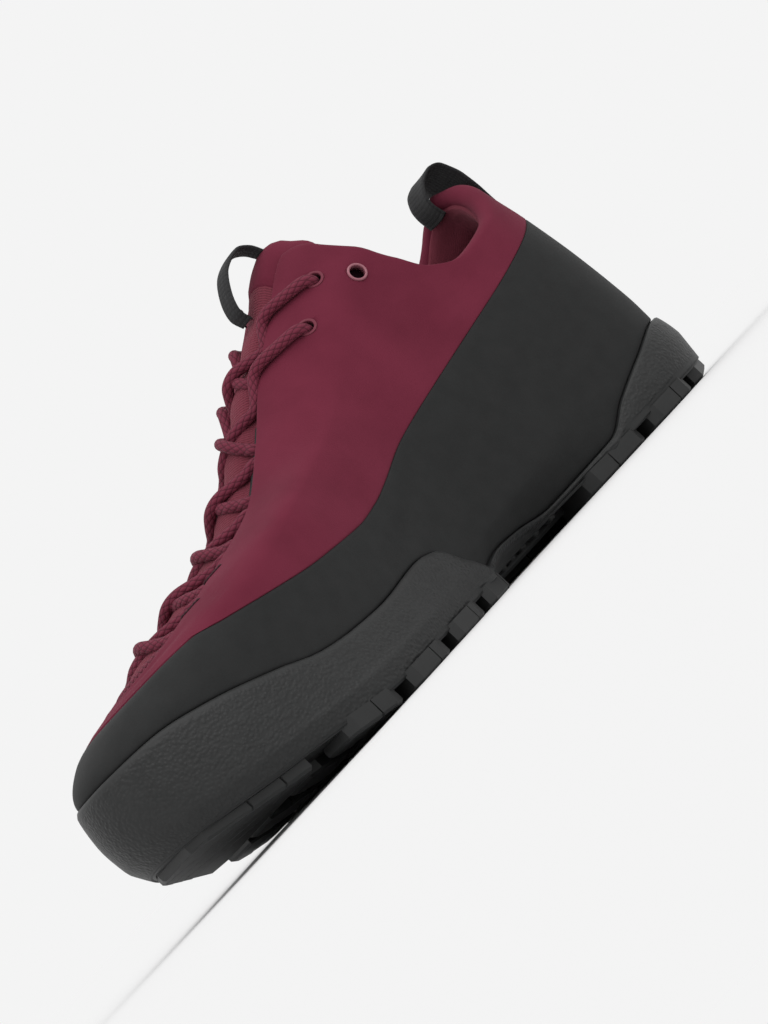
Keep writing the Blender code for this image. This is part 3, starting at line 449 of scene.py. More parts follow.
class Columns:
    """Lines up the last's side in a closed round: the inner side from toe to heel, then the outer
    side back to the toe. Each runs from the underside by the rand's top edge to the top line."""

    def __init__(self, last: Last, per_side: int) -> None:
        """Spreads the columns and finds where each meets the floor and the rubber's top line.

        Args:
            last: the shoe's form.
            per_side: how many steps each side has.
        """
        self.last = last
        counts = np.linspace(0.0, 1.0, per_side + 1)
        line = np.stack([np.linspace(0, 1, 161), np.full(161, BASE_LEVEL)], -1)
        base = self.spread(line, COLUMN["base"].at(counts))
        top = self.spread(self.fine_top_line(), COLUMN["top"].at(counts))
        back = slice(-2, 0, -1)
        self.turn = np.concatenate([base[:, 0], -base[back, 0]])
        self.top_turn = np.concatenate([top[:, 0], -top[back, 0]])
        self.top_level = np.concatenate([top[:, 1], top[back, 1]])
        self.rand_level = RAND["level"].at(np.abs(self.turn))
        self.floor = self.share_where(lambda s, z: z - last.floor_height(s))
        self.seam = self.share_where(self.over_rubber)
        foot = last.point(BASE_LEVEL, self.turn)
        edge = last.point(self.rand_level, self.turn)
        self.low_height = np.linalg.norm(edge - foot, axis=-1)
        self.high_height = np.linalg.norm(last.point(self.top_level, self.top_turn) - edge, axis=-1)

    @property
    def count(self) -> int:
        """How many columns there are."""
        return len(self.turn)

    def fine_top_line(self, steps: int = 160) -> Array:
        """The top line as many (turn, level) rows, smooth through its corners."""
        rows = np.array(TOP_LINE)
        knots = np.concatenate([[0.0], np.cumsum(np.hypot(*np.diff(rows, axis=0).T))])
        places = np.linspace(0, knots[-1], steps + 1)
        return np.stack([Curve(knots, rows[:, k]).at(places) for k in (0, 1)], -1)

    def spread(self, line: Array, places: Array) -> Array:
        """(turn, level) rows at these shares of a line's length on the last."""
        lengths = run(self.last.point(line[:, 1], line[:, 0]))
        return np.stack([Curve(lengths, line[:, k]).at(places * lengths[-1]) for k in (0, 1)], -1)

    def over_rubber(self, station: Array, height: Array) -> Array:
        """How far each column's point is over the rubber's top line."""
        line = np.where(self.turn >= 0, RUBBER["inner"].at(station), RUBBER["outer"].at(station))
        return height - self.last.rubber_height * line

    def share_where(self, excess: Callable[[Array, Array], Array]) -> Array:
        """The share up to the rand's edge at which a function of station and height is zero.

        Args:
            excess: the function, negative below its zero.

        Returns:
            a share for each column.
        """
        below, above = np.zeros(len(self.turn)), np.ones(len(self.turn))
        for _ in range(24):
            middle = (below + above) / 2
            point = self.last.raw(self.low_level(middle), self.turn)
            short = excess(point[:, 0] / self.last.length + 0.5, point[:, 2]) < 0
            below, above = np.where(short, middle, below), np.where(short, above, middle)
        return below

    def low_level(self, share: Array | float) -> Array:
        """The level at this share of the way from the underside to the rand's edge."""
        return BASE_LEVEL + (self.rand_level - BASE_LEVEL) * share

    def low(self, share: Array | float, out: Array | float) -> Array:
        """Points off the part under the rand's top edge."""
        level = self.low_level(share)
        return self.last.off(level, np.broadcast_to(self.turn, level.shape), out)

    def below_top(self, drop: Array | float, out: Array | float) -> Array:
        """Points off the last at this distance down from the top line.

        Args:
            drop: distance down from the top line.
            out: distance outside the last.

        Returns:
            a point for each column.
        """
        drop = np.broadcast_to(np.asarray(drop, float), self.turn.shape)
        high = np.clip(1 - drop / self.high_height, 0.0, 1.0)
        low = np.clip(1 - (drop - self.high_height) / self.low_height, 0.0, 1.0)
        on_high = drop <= self.high_height
        turn = np.where(on_high, self.turn + (self.top_turn - self.turn) * high, self.turn)
        level = self.rand_level + (self.top_level - self.rand_level) * high
        level = np.where(on_high, level, self.low_level(low))
        return self.last.off(level, turn, out)

    def above_rand(self, rise: Array | float, out: Array | float) -> Array:
        """Points off the last at this distance up from the rand's top edge."""
        return self.below_top(self.high_height - rise, out)

    @property
    def collar(self) -> Array:
        """1 on columns of the padded collar, 0 on the throat's edges."""
        return smooth(np.abs(self.top_turn), 0.40, 0.50)


class Value:
    """A number in a shader, with Python's operators as Math nodes."""

    def __init__(self, tree: "Tree", socket: bpy.types.NodeSocket) -> None:
        """Wraps an output socket of the tree."""
        self.tree, self.socket = tree, socket

    def math(self, operation: str, *others: "Value | float", first: bool = True) -> "Value":
        """A Math node over this value and others.

        Args:
            operation: the Math node's operation.
            others: its other inputs.
            first: whether this value is the first input or the last.

        Returns:
            The node's result.
        """
        inputs = (self, *others) if first else (*others, self)
        made = self.tree.node("ShaderNodeMath", {"operation": operation}, dict(enumerate(inputs)))
        return Value(self.tree, made.outputs[0])

    def __add__(self, other: "Value | float") -> "Value":
        """Sum."""
        return self.math("ADD", other)

    def __radd__(self, other: float) -> "Value":
        """Sum, reflected."""
        return self.math("ADD", other)

    def __sub__(self, other: "Value | float") -> "Value":
        """Difference."""
        return self.math("SUBTRACT", other)

    def __rsub__(self, other: float) -> "Value":
        """Difference, reflected."""
        return self.math("SUBTRACT", other, first=False)

    def __mul__(self, other: "Value | float") -> "Value":
        """Product."""
        return self.math("MULTIPLY", other)

    def __rmul__(self, other: float) -> "Value":
        """Product, reflected."""
        return self.math("MULTIPLY", other)

    def __pow__(self, other: "Value | float") -> "Value":
        """Power."""
        return self.math("POWER", other)

    def __rpow__(self, other: float) -> "Value":
        """Power, reflected."""
        return self.math("POWER", other, first=False)

    def __abs__(self) -> "Value":
        """Size without the sign."""
        return self.math("ABSOLUTE")

    def sine(self) -> "Value":
        """Sine of an angle in radians."""
        return self.math("SINE")

    def ramp(self, low: float, high: float) -> "Value":
        """0 at low, 1 at high, with a soft ramp between them."""
        inputs = {"Value": self, "From Min": low, "From Max": high}
        made = self.tree.node("ShaderNodeMapRange", {"interpolation_type": "SMOOTHSTEP"}, inputs)
        return Value(self.tree, made.outputs["Result"])


class Tree:
    """The node tree of one material."""

    def __init__(self, name: str) -> None:
        """Starts a material with its plain shader."""
        self.material = bpy.data.materials.new(name)
        self.material.use_nodes = True
        self.graph = self.material.node_tree
        self.shader = self.graph.nodes["Principled BSDF"]

    def node(
        self, kind: str, settings: dict[str, object] | None = None, inputs: dict | None = None
    ) -> bpy.types.Node:
        """Adds a node.

        Args:
            kind: the node's type.
            settings: its properties, set before its inputs.
            inputs: values or sockets for its inputs, by name or place.

        Returns:
            The node.
        """
        made = self.graph.nodes.new(kind)
        for key, value in (settings or {}).items():
            setattr(made, key, value)
        for key, value in (inputs or {}).items():
            self.put(made.inputs[key], value)
        return made

    def put(self, socket: bpy.types.NodeSocket, value: object) -> None:
        """Sets an input to a number, or links it to a value or a socket.

        Args:
            socket: the input.
            value: a number, colour, value or socket.
        """
        if isinstance(value, Value):
            self.graph.links.new(value.socket, socket)
        elif isinstance(value, bpy.types.NodeSocket):
            self.graph.links.new(value, socket)
        else:
            socket.default_value = value

    def place(self) -> bpy.types.NodeSocket:
        """Places in metres on the object."""
        return self.node("ShaderNodeTexCoord").outputs["Object"]

    def noise(self, scale: float, detail: float = 2.0, stretch: Colour = (1, 1, 1)) -> Value:
        """Soft noise between 0 and 1, with this many waves a metre."""
        inputs = {0: self.place(), 1: stretch}
        place = self.node("ShaderNodeVectorMath", {"operation": "MULTIPLY"}, inputs).outputs[0]
        inputs = {"Vector": place, "Scale": scale, "Detail": detail}
        return Value(self, self.node("ShaderNodeTexNoise", {}, inputs).outputs["Fac"])

    def cells(self, scale: float, feature: str = "F1") -> Value:
        """Distance to the nearest of many scattered points."""
        settings = {"feature": feature}
        inputs = {"Vector": self.place(), "Scale": scale}
        return Value(self, self.node("ShaderNodeTexVoronoi", settings, inputs).outputs["Distance"])

    def attribute(self, name: str) -> Value:
        """A number kept on the mesh."""
        made = self.node("ShaderNodeAttribute", {"attribute_name": name})
        return Value(self, made.outputs["Fac"])

    def unwrapped(self) -> tuple[Value, Value]:
        """The two coordinates of the mesh's unwrapping."""
        parts = self.node("ShaderNodeSeparateXYZ", {}, {0: self.node("ShaderNodeUVMap").outputs[0]})
        return Value(self, parts.outputs[0]), Value(self, parts.outputs[1])

    def blend(self, share: Value | float, start: object, end: object) -> bpy.types.NodeSocket:
        """A colour between two others."""
        inputs = {0: share, 6: start, 7: end}
        return self.node("ShaderNodeMix", {"data_type": "RGBA"}, inputs).outputs[2]


def rgba(colour: Colour) -> tuple[float, float, float, float]:
    """A colour with full opacity."""
    return (*colour, 1.0)


@dataclass(frozen=True)
class Finish:
    """A matt finish with a soft mottling and a fine grain."""

    name: str
    colour: Colour
    shade: Colour
    roughness: float = 0.8
    mottle_scale: float = 55.0
    grain_scale: float = 1500.0
    grain: float = 0.06 * MM
    sheen: float = 0.0
    coat: float = 0.0
    metallic: float = 0.0
    specular: float = 0.4

    def pattern(self, tree: Tree) -> tuple[Value | None, Value | None]:
        """The finish's own relief in metres, and how far painted shade darkens the colour in its
        low places.
        """
        return None, None

    def make(self) -> bpy.types.Material:
        """The material."""
        tree = Tree(self.name)
        shader = tree.shader
        mottle = tree.noise(self.mottle_scale, 3.0).ramp(0.15, 0.85)
        colour = tree.blend(mottle, rgba(self.shade), rgba(self.colour))
        fine = tree.noise(self.grain_scale, 3.0)
        height, dark = self.pattern(tree)
        # Painted shade: where the pattern asks for it, the colour blends towards 0.30 of itself in
        # the grooves and valleys of the relief.
        if dark is not None:
            groove_shade_colour = tuple(0.30 * part for part in self.colour)
            colour = tree.blend(dark, colour, rgba(groove_shade_colour))
        tree.put(shader.inputs["Base Color"], colour)
        tree.put(shader.inputs["Roughness"], self.roughness + (fine - 0.5) * 0.12)
        relief = (fine - 0.5) * self.grain
        if height is not None:
            relief = relief + height
        inputs = {"Height": relief, "Distance": 1.0, "Strength": 1.0}
        tree.put(shader.inputs["Normal"], tree.node("ShaderNodeBump", {}, inputs).outputs[0])
        plain = {
            "Metallic": self.metallic,
            "Specular IOR Level": self.specular,
            "Sheen Weight": self.sheen,
            "Sheen Roughness": 0.5,
            "Sheen Tint": rgba(tuple(min(1.0, 0.35 + 3 * part) for part in self.colour)),
            "Coat Weight": self.coat,
            "Coat Roughness": 0.35,
        }
        for socket, value in plain.items():
            tree.put(shader.inputs[socket], value)
        return tree.material


@dataclass(frozen=True)
class Pebbled(Finish):
    """Rubber with a leather-like grain where the mesh's grain attribute asks for it."""

    pebble_scale: float = 1000.0
    pebble: float = 0.13 * MM

    def pattern(self, tree: Tree) -> tuple[Value | None, Value | None]:
        """Flat pebbles with narrow valleys between them, the valleys darkened with painted shade.
        """
        pebbles = 1.0 - tree.cells(self.pebble_scale, "SMOOTH_F1").ramp(0.05, 0.75)
        lumps = tree.noise(self.pebble_scale * 0.45, 2.0)
        wanted = tree.attribute("grain")
        # The second value is painted shade in the valleys, wherever the grain is wanted.
        return (pebbles * 1.5 + lumps * 1.8) * self.pebble * wanted, (1.0 - pebbles) * wanted * 0.30


@dataclass(frozen=True)
class Braided(Finish):
    """A round braid, on a tube unwrapped along its length and round it."""

    strands: float = 6.0
    relief: float = 0.30 * MM

    def pattern(self, tree: Tree) -> tuple[Value | None, Value | None]:
        """Plaited strands that run both ways round the cord, with painted shade in the crevices
        between them.
        """
        along, round_it = tree.unwrapped()
        one = ((along * 1.15 + round_it * self.strands) * math.pi).sine()
        other = ((along * 1.15 - round_it * self.strands) * math.pi).sine()
        weave = abs(one * other)
        # The second value is painted shade where the strands dip, up to 0.65 of the colour.
        return weave ** 0.6 * self.relief, (1.0 - weave.ramp(0.0, 0.35)) * 0.65


@dataclass(frozen=True)
class Woven(Finish):
    """A webbing or a knit, unwrapped in metres along and across."""

    along: float = 900.0
    across: float = 1100.0
    relief: float = 0.12 * MM
    # how strongly painted shade darkens the gaps between the threads
    painted_gap_shade: float = 0.5

    def pattern(self, tree: Tree) -> tuple[Value | None, Value | None]:
        """Threads that pass over and under each other, with painted shade in the gaps between them.
        """
        u, v = tree.unwrapped()
        weave = abs((u * self.along * math.pi).sine() * (v * self.across * math.pi).sine())
        return weave * self.relief, (1.0 - weave.ramp(0.0, 0.5)) * self.painted_gap_shade


@dataclass(frozen=True)
class Ribbed(Woven):
    """A textile with fine ribs that run along it."""

    def pattern(self, tree: Tree) -> tuple[Value | None, Value | None]:
        """Ribs with small stitches along them, with painted shade in the troughs between the ribs.
        """
        u, v = tree.unwrapped()
        rib = abs((v * self.across * math.pi).sine())
        loop = abs((u * self.along * math.pi + rib * 1.4).sine())
        weave = rib ** 0.7 * (0.65 + 0.35 * loop)
        # The second value is painted shade where the ribs dip.
        return weave * self.relief, (1.0 - weave.ramp(0.1, 0.6)) * self.painted_gap_shade


NUBUCK = Finish(
    "burgundy nubuck",
    (0.140, 0.0190, 0.0385),
    (0.110, 0.0138, 0.0290),
    roughness=0.92,
    grain=0.07 * MM,
    grain_scale=2200.0,
    sheen=0.035,
    specular=0.12,
)
RAW_EDGE = Finish(
    "raw nubuck edge", (0.215, 0.052, 0.078), (0.165, 0.036, 0.056), 0.92, grain=0.10 * MM
)
RAND_RUBBER = Finish(
    "charcoal rand",
    (0.0168, 0.0172, 0.0172),
    (0.0130, 0.0134, 0.0134),
    0.72,
    mottle_scale=160.0,
    grain_scale=1900.0,
    grain=0.07 * MM,
    specular=0.22,
)
SOLE_RUBBER = Pebbled(
    "black rubber",
    (0.0185, 0.0190, 0.0190),
    (0.0145, 0.0150, 0.0150),
    0.52,
    mottle_scale=120.0,
    grain_scale=1800.0,
    grain=0.02 * MM,
    specular=0.34,
)
FOAM = Finish("insole foam", (0.050, 0.050, 0.055), (0.038, 0.038, 0.043), 0.93, grain=0.12 * MM)
TEXTILE = Ribbed(
    "burgundy textile",
    (0.175, 0.034, 0.052),
    (0.140, 0.026, 0.040),
    0.9,
    along=900.0,
    across=1050.0,
    relief=0.22 * MM,
    painted_gap_shade=0.45,
    sheen=0.08,
    specular=0.12,
)
KNIT = Woven(
    "burgundy lining",
    (0.175, 0.034, 0.052),
    (0.150, 0.028, 0.044),
    0.9,
    along=1300.0,
    across=1300.0,
    relief=0.05 * MM,
    painted_gap_shade=0.25,
    sheen=0.08,
    specular=0.12,
)
# Near-black finish: painted shade for the lining where it shows through the eyelet holes.
PAINTED_HOLE_SHADE = Finish(
    "painted shade behind the holes", (0.012, 0.004, 0.006), (0.010, 0.003, 0.005), 0.95, specular=0.05
)
CORD = Braided(
    "burgundy cord", (0.160, 0.024, 0.046), (0.130, 0.018, 0.036), 0.8, sheen=0.05, specular=0.2
)
WEBBING = Woven(
    "black webbing",
    (0.020, 0.020, 0.021),
    (0.011, 0.011, 0.012),
    0.8,
    mottle_scale=900.0,
    along=560.0,
    across=700.0,
)
METAL = Finish(
    "painted metal",
    (0.330, 0.120, 0.150),
    (0.250, 0.080, 0.105),
    0.42,
    grain=0.0,
    coat=0.3,
    metallic=0.2,
)
PRESSED = Finish(
    "pressed ring", (0.166, 0.030, 0.050), (0.130, 0.021, 0.037), 0.85, grain=0.04 * MM
)
AMBER = Finish(
    "amber inlay", (0.780, 0.330, 0.012), (0.700, 0.280, 0.010), 0.38, grain=0.01 * MM, coat=0.2
)
THREAD = Finish("dark thread", (0.045, 0.012, 0.018), (0.030, 0.008, 0.012), 0.85)
FLOOR = Finish(
    "studio floor", (0.737, 0.737, 0.737), (0.737, 0.737, 0.737), 0.9, grain=0.0, specular=0.0
)


def lattice(rows: int, columns: int, down: int, round_it: int) -> tuple[Array, Array, list]:
    """The quads of a grid of points.

    Args:
        rows: how many rows of points there are.
        columns: how many columns.
        down: how many rows of quads, as many as the rows where they close.
        round_it: how many columns of quads, in the same way.

    Returns:
        The row and the column of each quad, and the quads as tuples of indices.
    """
    r, c = np.meshgrid(np.arange(down), np.arange(round_it), indexing="ij")
    r1, c1 = (r + 1) % rows, (c + 1) % columns
    corners = [r * columns + c, r * columns + c1, r1 * columns + c1, r1 * columns + c]
    return r, c, [tuple(quad) for quad in np.stack(corners, -1).reshape(-1, 4).tolist()]


def link(name: str, data: bpy.types.ID) -> bpy.types.Object:
    """A new object in the scene with this data."""
    made = bpy.data.objects.new(name, data)
    bpy.context.scene.collection.objects.link(made)
    return made


class Make:
    """Makes meshes of arrays of points, and dresses them."""

    materials: dict[str, bpy.types.Material] = {}

    @classmethod
    def material(cls, finish: Finish) -> bpy.types.Material:
        """The finish's material, made once."""
        if finish.name not in cls.materials:
            cls.materials[finish.name] = finish.make()
        return cls.materials[finish.name]

    @classmethod
    def mesh(
        cls, name: str, points: Array, faces: list, finish: Finish, uv: Array | None = None
    ) -> bpy.types.Object:
        """An object of points and faces.

        Args:
            name: the object's name.
            points: its vertices, a row each.
            faces: tuples of indices.
            finish: what it is dressed in.
            uv: a pair for each corner of each face, in order.

        Returns:
            The object, with its faces outwards where it is closed.
        """
        data = bpy.data.meshes.new(name)
        data.from_pydata(np.asarray(points, float).reshape(-1, 3).tolist(), [], faces)
        if uv is not None:
            layer = data.uv_layers.new(name="UVMap")
            layer.data.foreach_set("uv", np.asarray(uv, np.float32).ravel())
        form = bmesh.new()
        form.from_mesh(data)
        if form.calc_volume(signed=True) < 0:
            bmesh.ops.reverse_faces(form, faces=form.faces)
        form.to_mesh(data)
        form.free()
        data.materials.append(cls.material(finish))
        data.shade_smooth()
        return link(name, data)

    @classmethod
    def grid(
        cls,
        name: str,
        points: Array,
        finish: Finish,
        ring: bool = True,
        tube: bool = True,
        u: Array | None = None,
        v: Array | None = None,
    ) -> bpy.types.Object:
        """A closed form of a grid of points.

        Args:
            name: the object's name.
            points: rows by columns by 3. Each column is a closed section where tube is set.
            finish: what it is dressed in.
            ring: whether the columns close into a round. Otherwise both end sections are capped.
            tube: whether the rows close. Otherwise the first and last rows are capped.
            u: unwrapped places of the columns, one more of them where the columns close.
            v: unwrapped places of the rows, in the same way.

        Returns:
            The object.
        """
        rows, columns = points.shape[:2]
        down, round_it = rows if tube else rows - 1, columns if ring else columns - 1
        r, c, faces = lattice(rows, columns, down, round_it)
        u = np.arange(columns + 1) * MM if u is None else np.asarray(u)
        v = np.arange(rows + 1) * MM if v is None else np.asarray(v)
        corners = [(u[c], v[r]), (u[c + 1], v[r]), (u[c + 1], v[r + 1]), (u[c], v[r + 1])]
        uv = [np.stack([np.stack(pair, -1) for pair in corners], -2).reshape(-1, 2)]
        if not ring:
            first = [i * columns for i in range(rows)]
            faces += [tuple(first), tuple(i + columns - 1 for i in reversed(first))]
            uv.append(np.zeros((2 * rows, 2)))
        if not tube:
            last = (rows - 1) * columns
            faces += [tuple(reversed(range(columns))), tuple(range(last, last + columns))]
            uv.append(np.zeros((2 * columns, 2)))
        return cls.mesh(name, points, faces, finish, np.concatenate(uv))

    @classmethod
    def sweep(
        cls, name: str, path: Array, radius: float, sides: int, finish: Finish
    ) -> bpy.types.Object:
        """A cord along a path, unwrapped in its own diameters along and once round.

        Args:
            name: the object's name.
            path: points along its middle.
            radius: half the cord's thickness.
            sides: corners of its section.
            finish: its finish.

        Returns:
            the cord.
        """
        along = unit(np.gradient(path, axis=0))
        side = np.empty_like(path)
        side[0] = unit(np.cross(along[0], [0.3, 0.2, 0.9]))
        for i in range(1, len(path)):
            side[i] = unit(side[i - 1] - along[i] * np.dot(side[i - 1], along[i]))
        other = np.cross(along, side)
        angle = np.linspace(0, 2 * np.pi, sides, endpoint=False)[:, None, None]
        points = path[None] + radius * (np.cos(angle) * side[None] + np.sin(angle) * other[None])
        u, v = run(path) / (2 * radius), np.linspace(0, 1, sides + 1)
        return cls.grid(name, points, finish, ring=False, u=u, v=v)

    @staticmethod
    def attribute(thing: bpy.types.Object, name: str, values: Array) -> None:
        """Keeps a number for each vertex on the mesh."""
        made = thing.data.attributes.new(name, "FLOAT", "POINT")
        made.data.foreach_set("value", np.asarray(values, np.float32).ravel())

    @staticmethod
    def join(name: str, things: list[bpy.types.Object]) -> bpy.types.Object:
        """One object of several.

        Args:
            name: the new object's name.
            things: objects to join, which are used up.

        Returns:
            the joined object.
        """
        form = bmesh.new()
        for thing in things:
            form.from_mesh(thing.data)
        first = things[0]
        form.to_mesh(first.data)
        form.free()
        first.name = name
        for thing in things[1:]:
            bpy.data.objects.remove(thing)
        return first

    @staticmethod
    def done(thing: bpy.types.Object, slot: str, *nodes: str) -> bpy.types.Object:
        """Puts a piece on its body, in place of these CAD nodes.

        Args:
            thing: the piece.
            slot: its material slot; not used.
            nodes: the CAD nodes that it replaces.

        Returns:
            the same piece.
        """
        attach(thing, BODY)
        if nodes:
            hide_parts(*nodes)
        stands_for = ", ".join(nodes) or "itself"
        log.info("%s: %d faces for %s", thing.name, len(thing.data.polygons), stands_for)
        return thing


def through(points: Array, spacing: float) -> Array:
    """A smooth path through points, with an even spacing in metres.

    Args:
        points: the points to pass through.
        spacing: distance between its points.

    Returns:
        the points of the path.
    """
    steps = np.linalg.norm(np.diff(points, axis=0), axis=1)
    knots = np.concatenate([[0.0], np.cumsum(steps ** 0.5)])
    fine = np.linspace(0, knots[-1], 40 * len(points))
    slopes = np.gradient(points, knots, axis=0)
    i = np.clip(np.searchsorted(knots, fine, side="right") - 1, 0, len(knots) - 2)
    step = (knots[i + 1] - knots[i])[:, None]
    s = (fine - knots[i])[:, None] / step
    line = cubic(s, step, points[i], points[i + 1], slopes[i], slopes[i + 1])
    lengths = run(line)
    places = np.linspace(0, lengths[-1], max(3, int(lengths[-1] / spacing)))
    return np.stack([np.interp(places, lengths, line[:, k]) for k in range(3)], -1)


def drill(thing: bpy.types.Object, holes: list[Matrix], size: float) -> None:
    """Cuts round holes.

    Args:
        thing: the piece to cut.
        holes: frames of the holes, each with its Z axis outwards.
        size: their diameter.
    """
    form = bmesh.new()
    for frame in holes:
        made = bmesh.ops.create_cone(
            form, cap_ends=True, segments=28, radius1=size / 2, radius2=size / 2, depth=12 * MM
        )
        bmesh.ops.transform(form, matrix=frame, verts=made["verts"])
    data = bpy.data.meshes.new("holes")
    form.to_mesh(data)
    form.free()
    cutter = link("holes", data)
    step = thing.modifiers.new("drill", "BOOLEAN")
    step.operation, step.solver, step.object = "DIFFERENCE", "EXACT", cutter
    graph = bpy.context.evaluated_depsgraph_get()
    thing.data = bpy.data.meshes.new_from_object(thing.evaluated_get(graph))
    thing.modifiers.clear()
    bpy.data.objects.remove(cutter)


@dataclass(frozen=True)
class Crease:
    """A soft trough with low ridges beside it, along (turn, level) places."""

    places: tuple[tuple[float, float], ...]
    width: float
    depth: float
    ridge: float = 0.4

    def relief(self, last: Last, points: Array) -> Array:
        """How far out the crease moves each point.

        Args:
            last: the surface that the crease lies on.
            points: points of the piece.

        Returns:
            a distance for each point.
        """
        line = last.point([level for _, level in self.places], [turn for turn, _ in self.places])
        line = through(line, 2 * MM)
        flat = points.reshape(-1, 3)
        nearest = np.full(len(flat), np.inf)
        share = np.zeros(len(flat))
        for k, point in enumerate(line):
            distance = np.linalg.norm(flat - point, axis=1)
            closer = distance < nearest
            nearest = np.where(closer, distance, nearest)
            share = np.where(closer, k / (len(line) - 1), share)
        fade = np.sin(np.pi * np.clip(share, 0.02, 0.98)) ** 0.7
        trough = np.exp(-((nearest / self.width) ** 2))
        ridge = np.exp(-(((nearest - 2.1 * self.width) / self.width) ** 2))
        return (self.depth * fade * (self.ridge * ridge - trough)).reshape(points.shape[:-1])


@dataclass
class Upper:
    """The nubuck upper: its outer skin, rolled edge and the facing inside the collar."""

    last: Last
    columns: Columns
    raw_edge: float = 1.1 * MM
    roll: float = 3.7 * MM
    facing: float = 9.0 * MM
    groove: float = 0.45 * MM
    hole: float = 5.2 * MM
    throat_swell: float = 0.6 * MM
    throat_facing: float = 4 * MM
    creases: tuple[Crease, ...] = (
        Crease(((0.035, 0.365), (0.10, 0.372), (0.17, 0.385)), 2.4 * MM, 0.5 * MM),
        Crease(((0.16, 0.44), (0.20, 0.40), (0.25, 0.35)), 3.6 * MM, 0.55 * MM),
        Crease(((0.17, 0.56), (0.22, 0.50), (0.28, 0.42)), 4.5 * MM, 0.40 * MM),
        Crease(((0.50, 0.70), (0.54, 0.60), (0.55, 0.50)), 5.5 * MM, 0.60 * MM),
        Crease(((0.60, 0.64), (0.63, 0.56), (0.62, 0.48)), 5.0 * MM, 0.45 * MM),
        Crease(((-0.035, 0.365), (-0.10, 0.372), (-0.17, 0.385)), 2.4 * MM, 0.5 * MM),
        Crease(((-0.16, 0.44), (-0.20, 0.40), (-0.25, 0.35)), 3.6 * MM, 0.55 * MM),
        Crease(((-0.50, 0.70), (-0.54, 0.60), (-0.55, 0.50)), 5.5 * MM, 0.60 * MM),
        Crease(((-0.60, 0.64), (-0.63, 0.56), (-0.62, 0.48)), 5.0 * MM, 0.45 * MM),
    )

    def edge_radius(self) -> Array:
        """Half the thickness of the edge on each column."""
        middle = smooth(np.abs(self.columns.top_turn), 0.13, 0.20)
        full = self.roll - self.raw_edge - self.throat_swell
        return self.raw_edge + self.throat_swell * middle + full * self.columns.collar

    def build(self, holes: list[Matrix]) -> bpy.types.Object:
        """The upper.

        Args:
            holes: frames of the eyelet holes, each with its Z axis outwards.

        Returns:
            The dressed piece.
        """
        columns, radius = self.columns, self.edge_radius()
        rows = [columns.low(0.97, -1.3 * MM)]
        for rise, out in ((0.0, -1.0), (0.10, -0.55), (0.25, -0.22), (0.55, -0.04)):
            rows.append(columns.above_rand(rise * MM, out * self.groove))
        for share in np.linspace(0.02, 1.0, 44) ** 0.9:
            drop = columns.high_height - (columns.high_height - radius) * share
            rows.append(columns.below_top(drop, 0.0))
        skin = np.array(rows)
        normals = unit(np.cross(np.gradient(skin, axis=1), np.gradient(skin, axis=0)))
        centre = np.array([0.0, 0.0, 0.04])
        outward = ((skin - centre) * normals).sum(-1, keepdims=True)
        normals = np.where(outward < 0, -normals, normals)
        relief = sum(crease.relief(self.last, skin) for crease in self.creases)
        index = np.arange(len(rows))
        fade = np.minimum(1.0, index / 8) * np.minimum(1.0, index[::-1] / 6)
        skin = skin + normals * (relief * fade[:, None])[..., None]
        turned = []
        for angle in np.linspace(0, np.pi, 13)[1:]:
            drop, depth = radius * (1 - math.sin(angle)), radius * (1 - math.cos(angle))
            turned.append(columns.below_top(drop, -depth))
        facing = self.facing * columns.collar + self.throat_facing * (1 - columns.collar)
        for share in (0.25, 0.5, 0.75, 0.95):
            drop = radius + (facing - radius) * share
            swell = 1.4 * MM * columns.collar * math.sin(math.pi * share * 0.5)
            turned.append(columns.below_top(drop, -2 * radius - swell))
        turned.append(columns.below_top(facing, -2 * radius - 0.2 * MM))
        turned.append(columns.below_top(facing + 1.0 * MM, -UPPER_WALL - 1.6 * MM * columns.collar))
        turned.append(columns.below_top(facing + 6.0 * MM, -UPPER_WALL))
        turned.append(columns.low(0.99, -UPPER_WALL))
        points = np.concatenate([skin, np.array(turned)])
        made = Make.grid("shoe_upper", points, NUBUCK)
        made.data.materials.append(Make.material(RAW_EDGE))
        self.mark_raw(made, len(rows), points.shape[:2])
        drill(made, holes, self.hole)
        return Make.done(made, "burgundy nubuck", "upper")

    def mark_raw(self, thing: bpy.types.Object, start: int, shape: tuple[int, int]) -> None:
        """Gives the throat's cut edge its paler finish."""
        index = np.zeros(shape, int)
        throat = np.abs(self.columns.top_turn) < 0.135
        index[start + 1 : start + 10, throat] = 1
        thing.data.polygons.foreach_set("material_index", index.ravel()[: len(thing.data.polygons)])


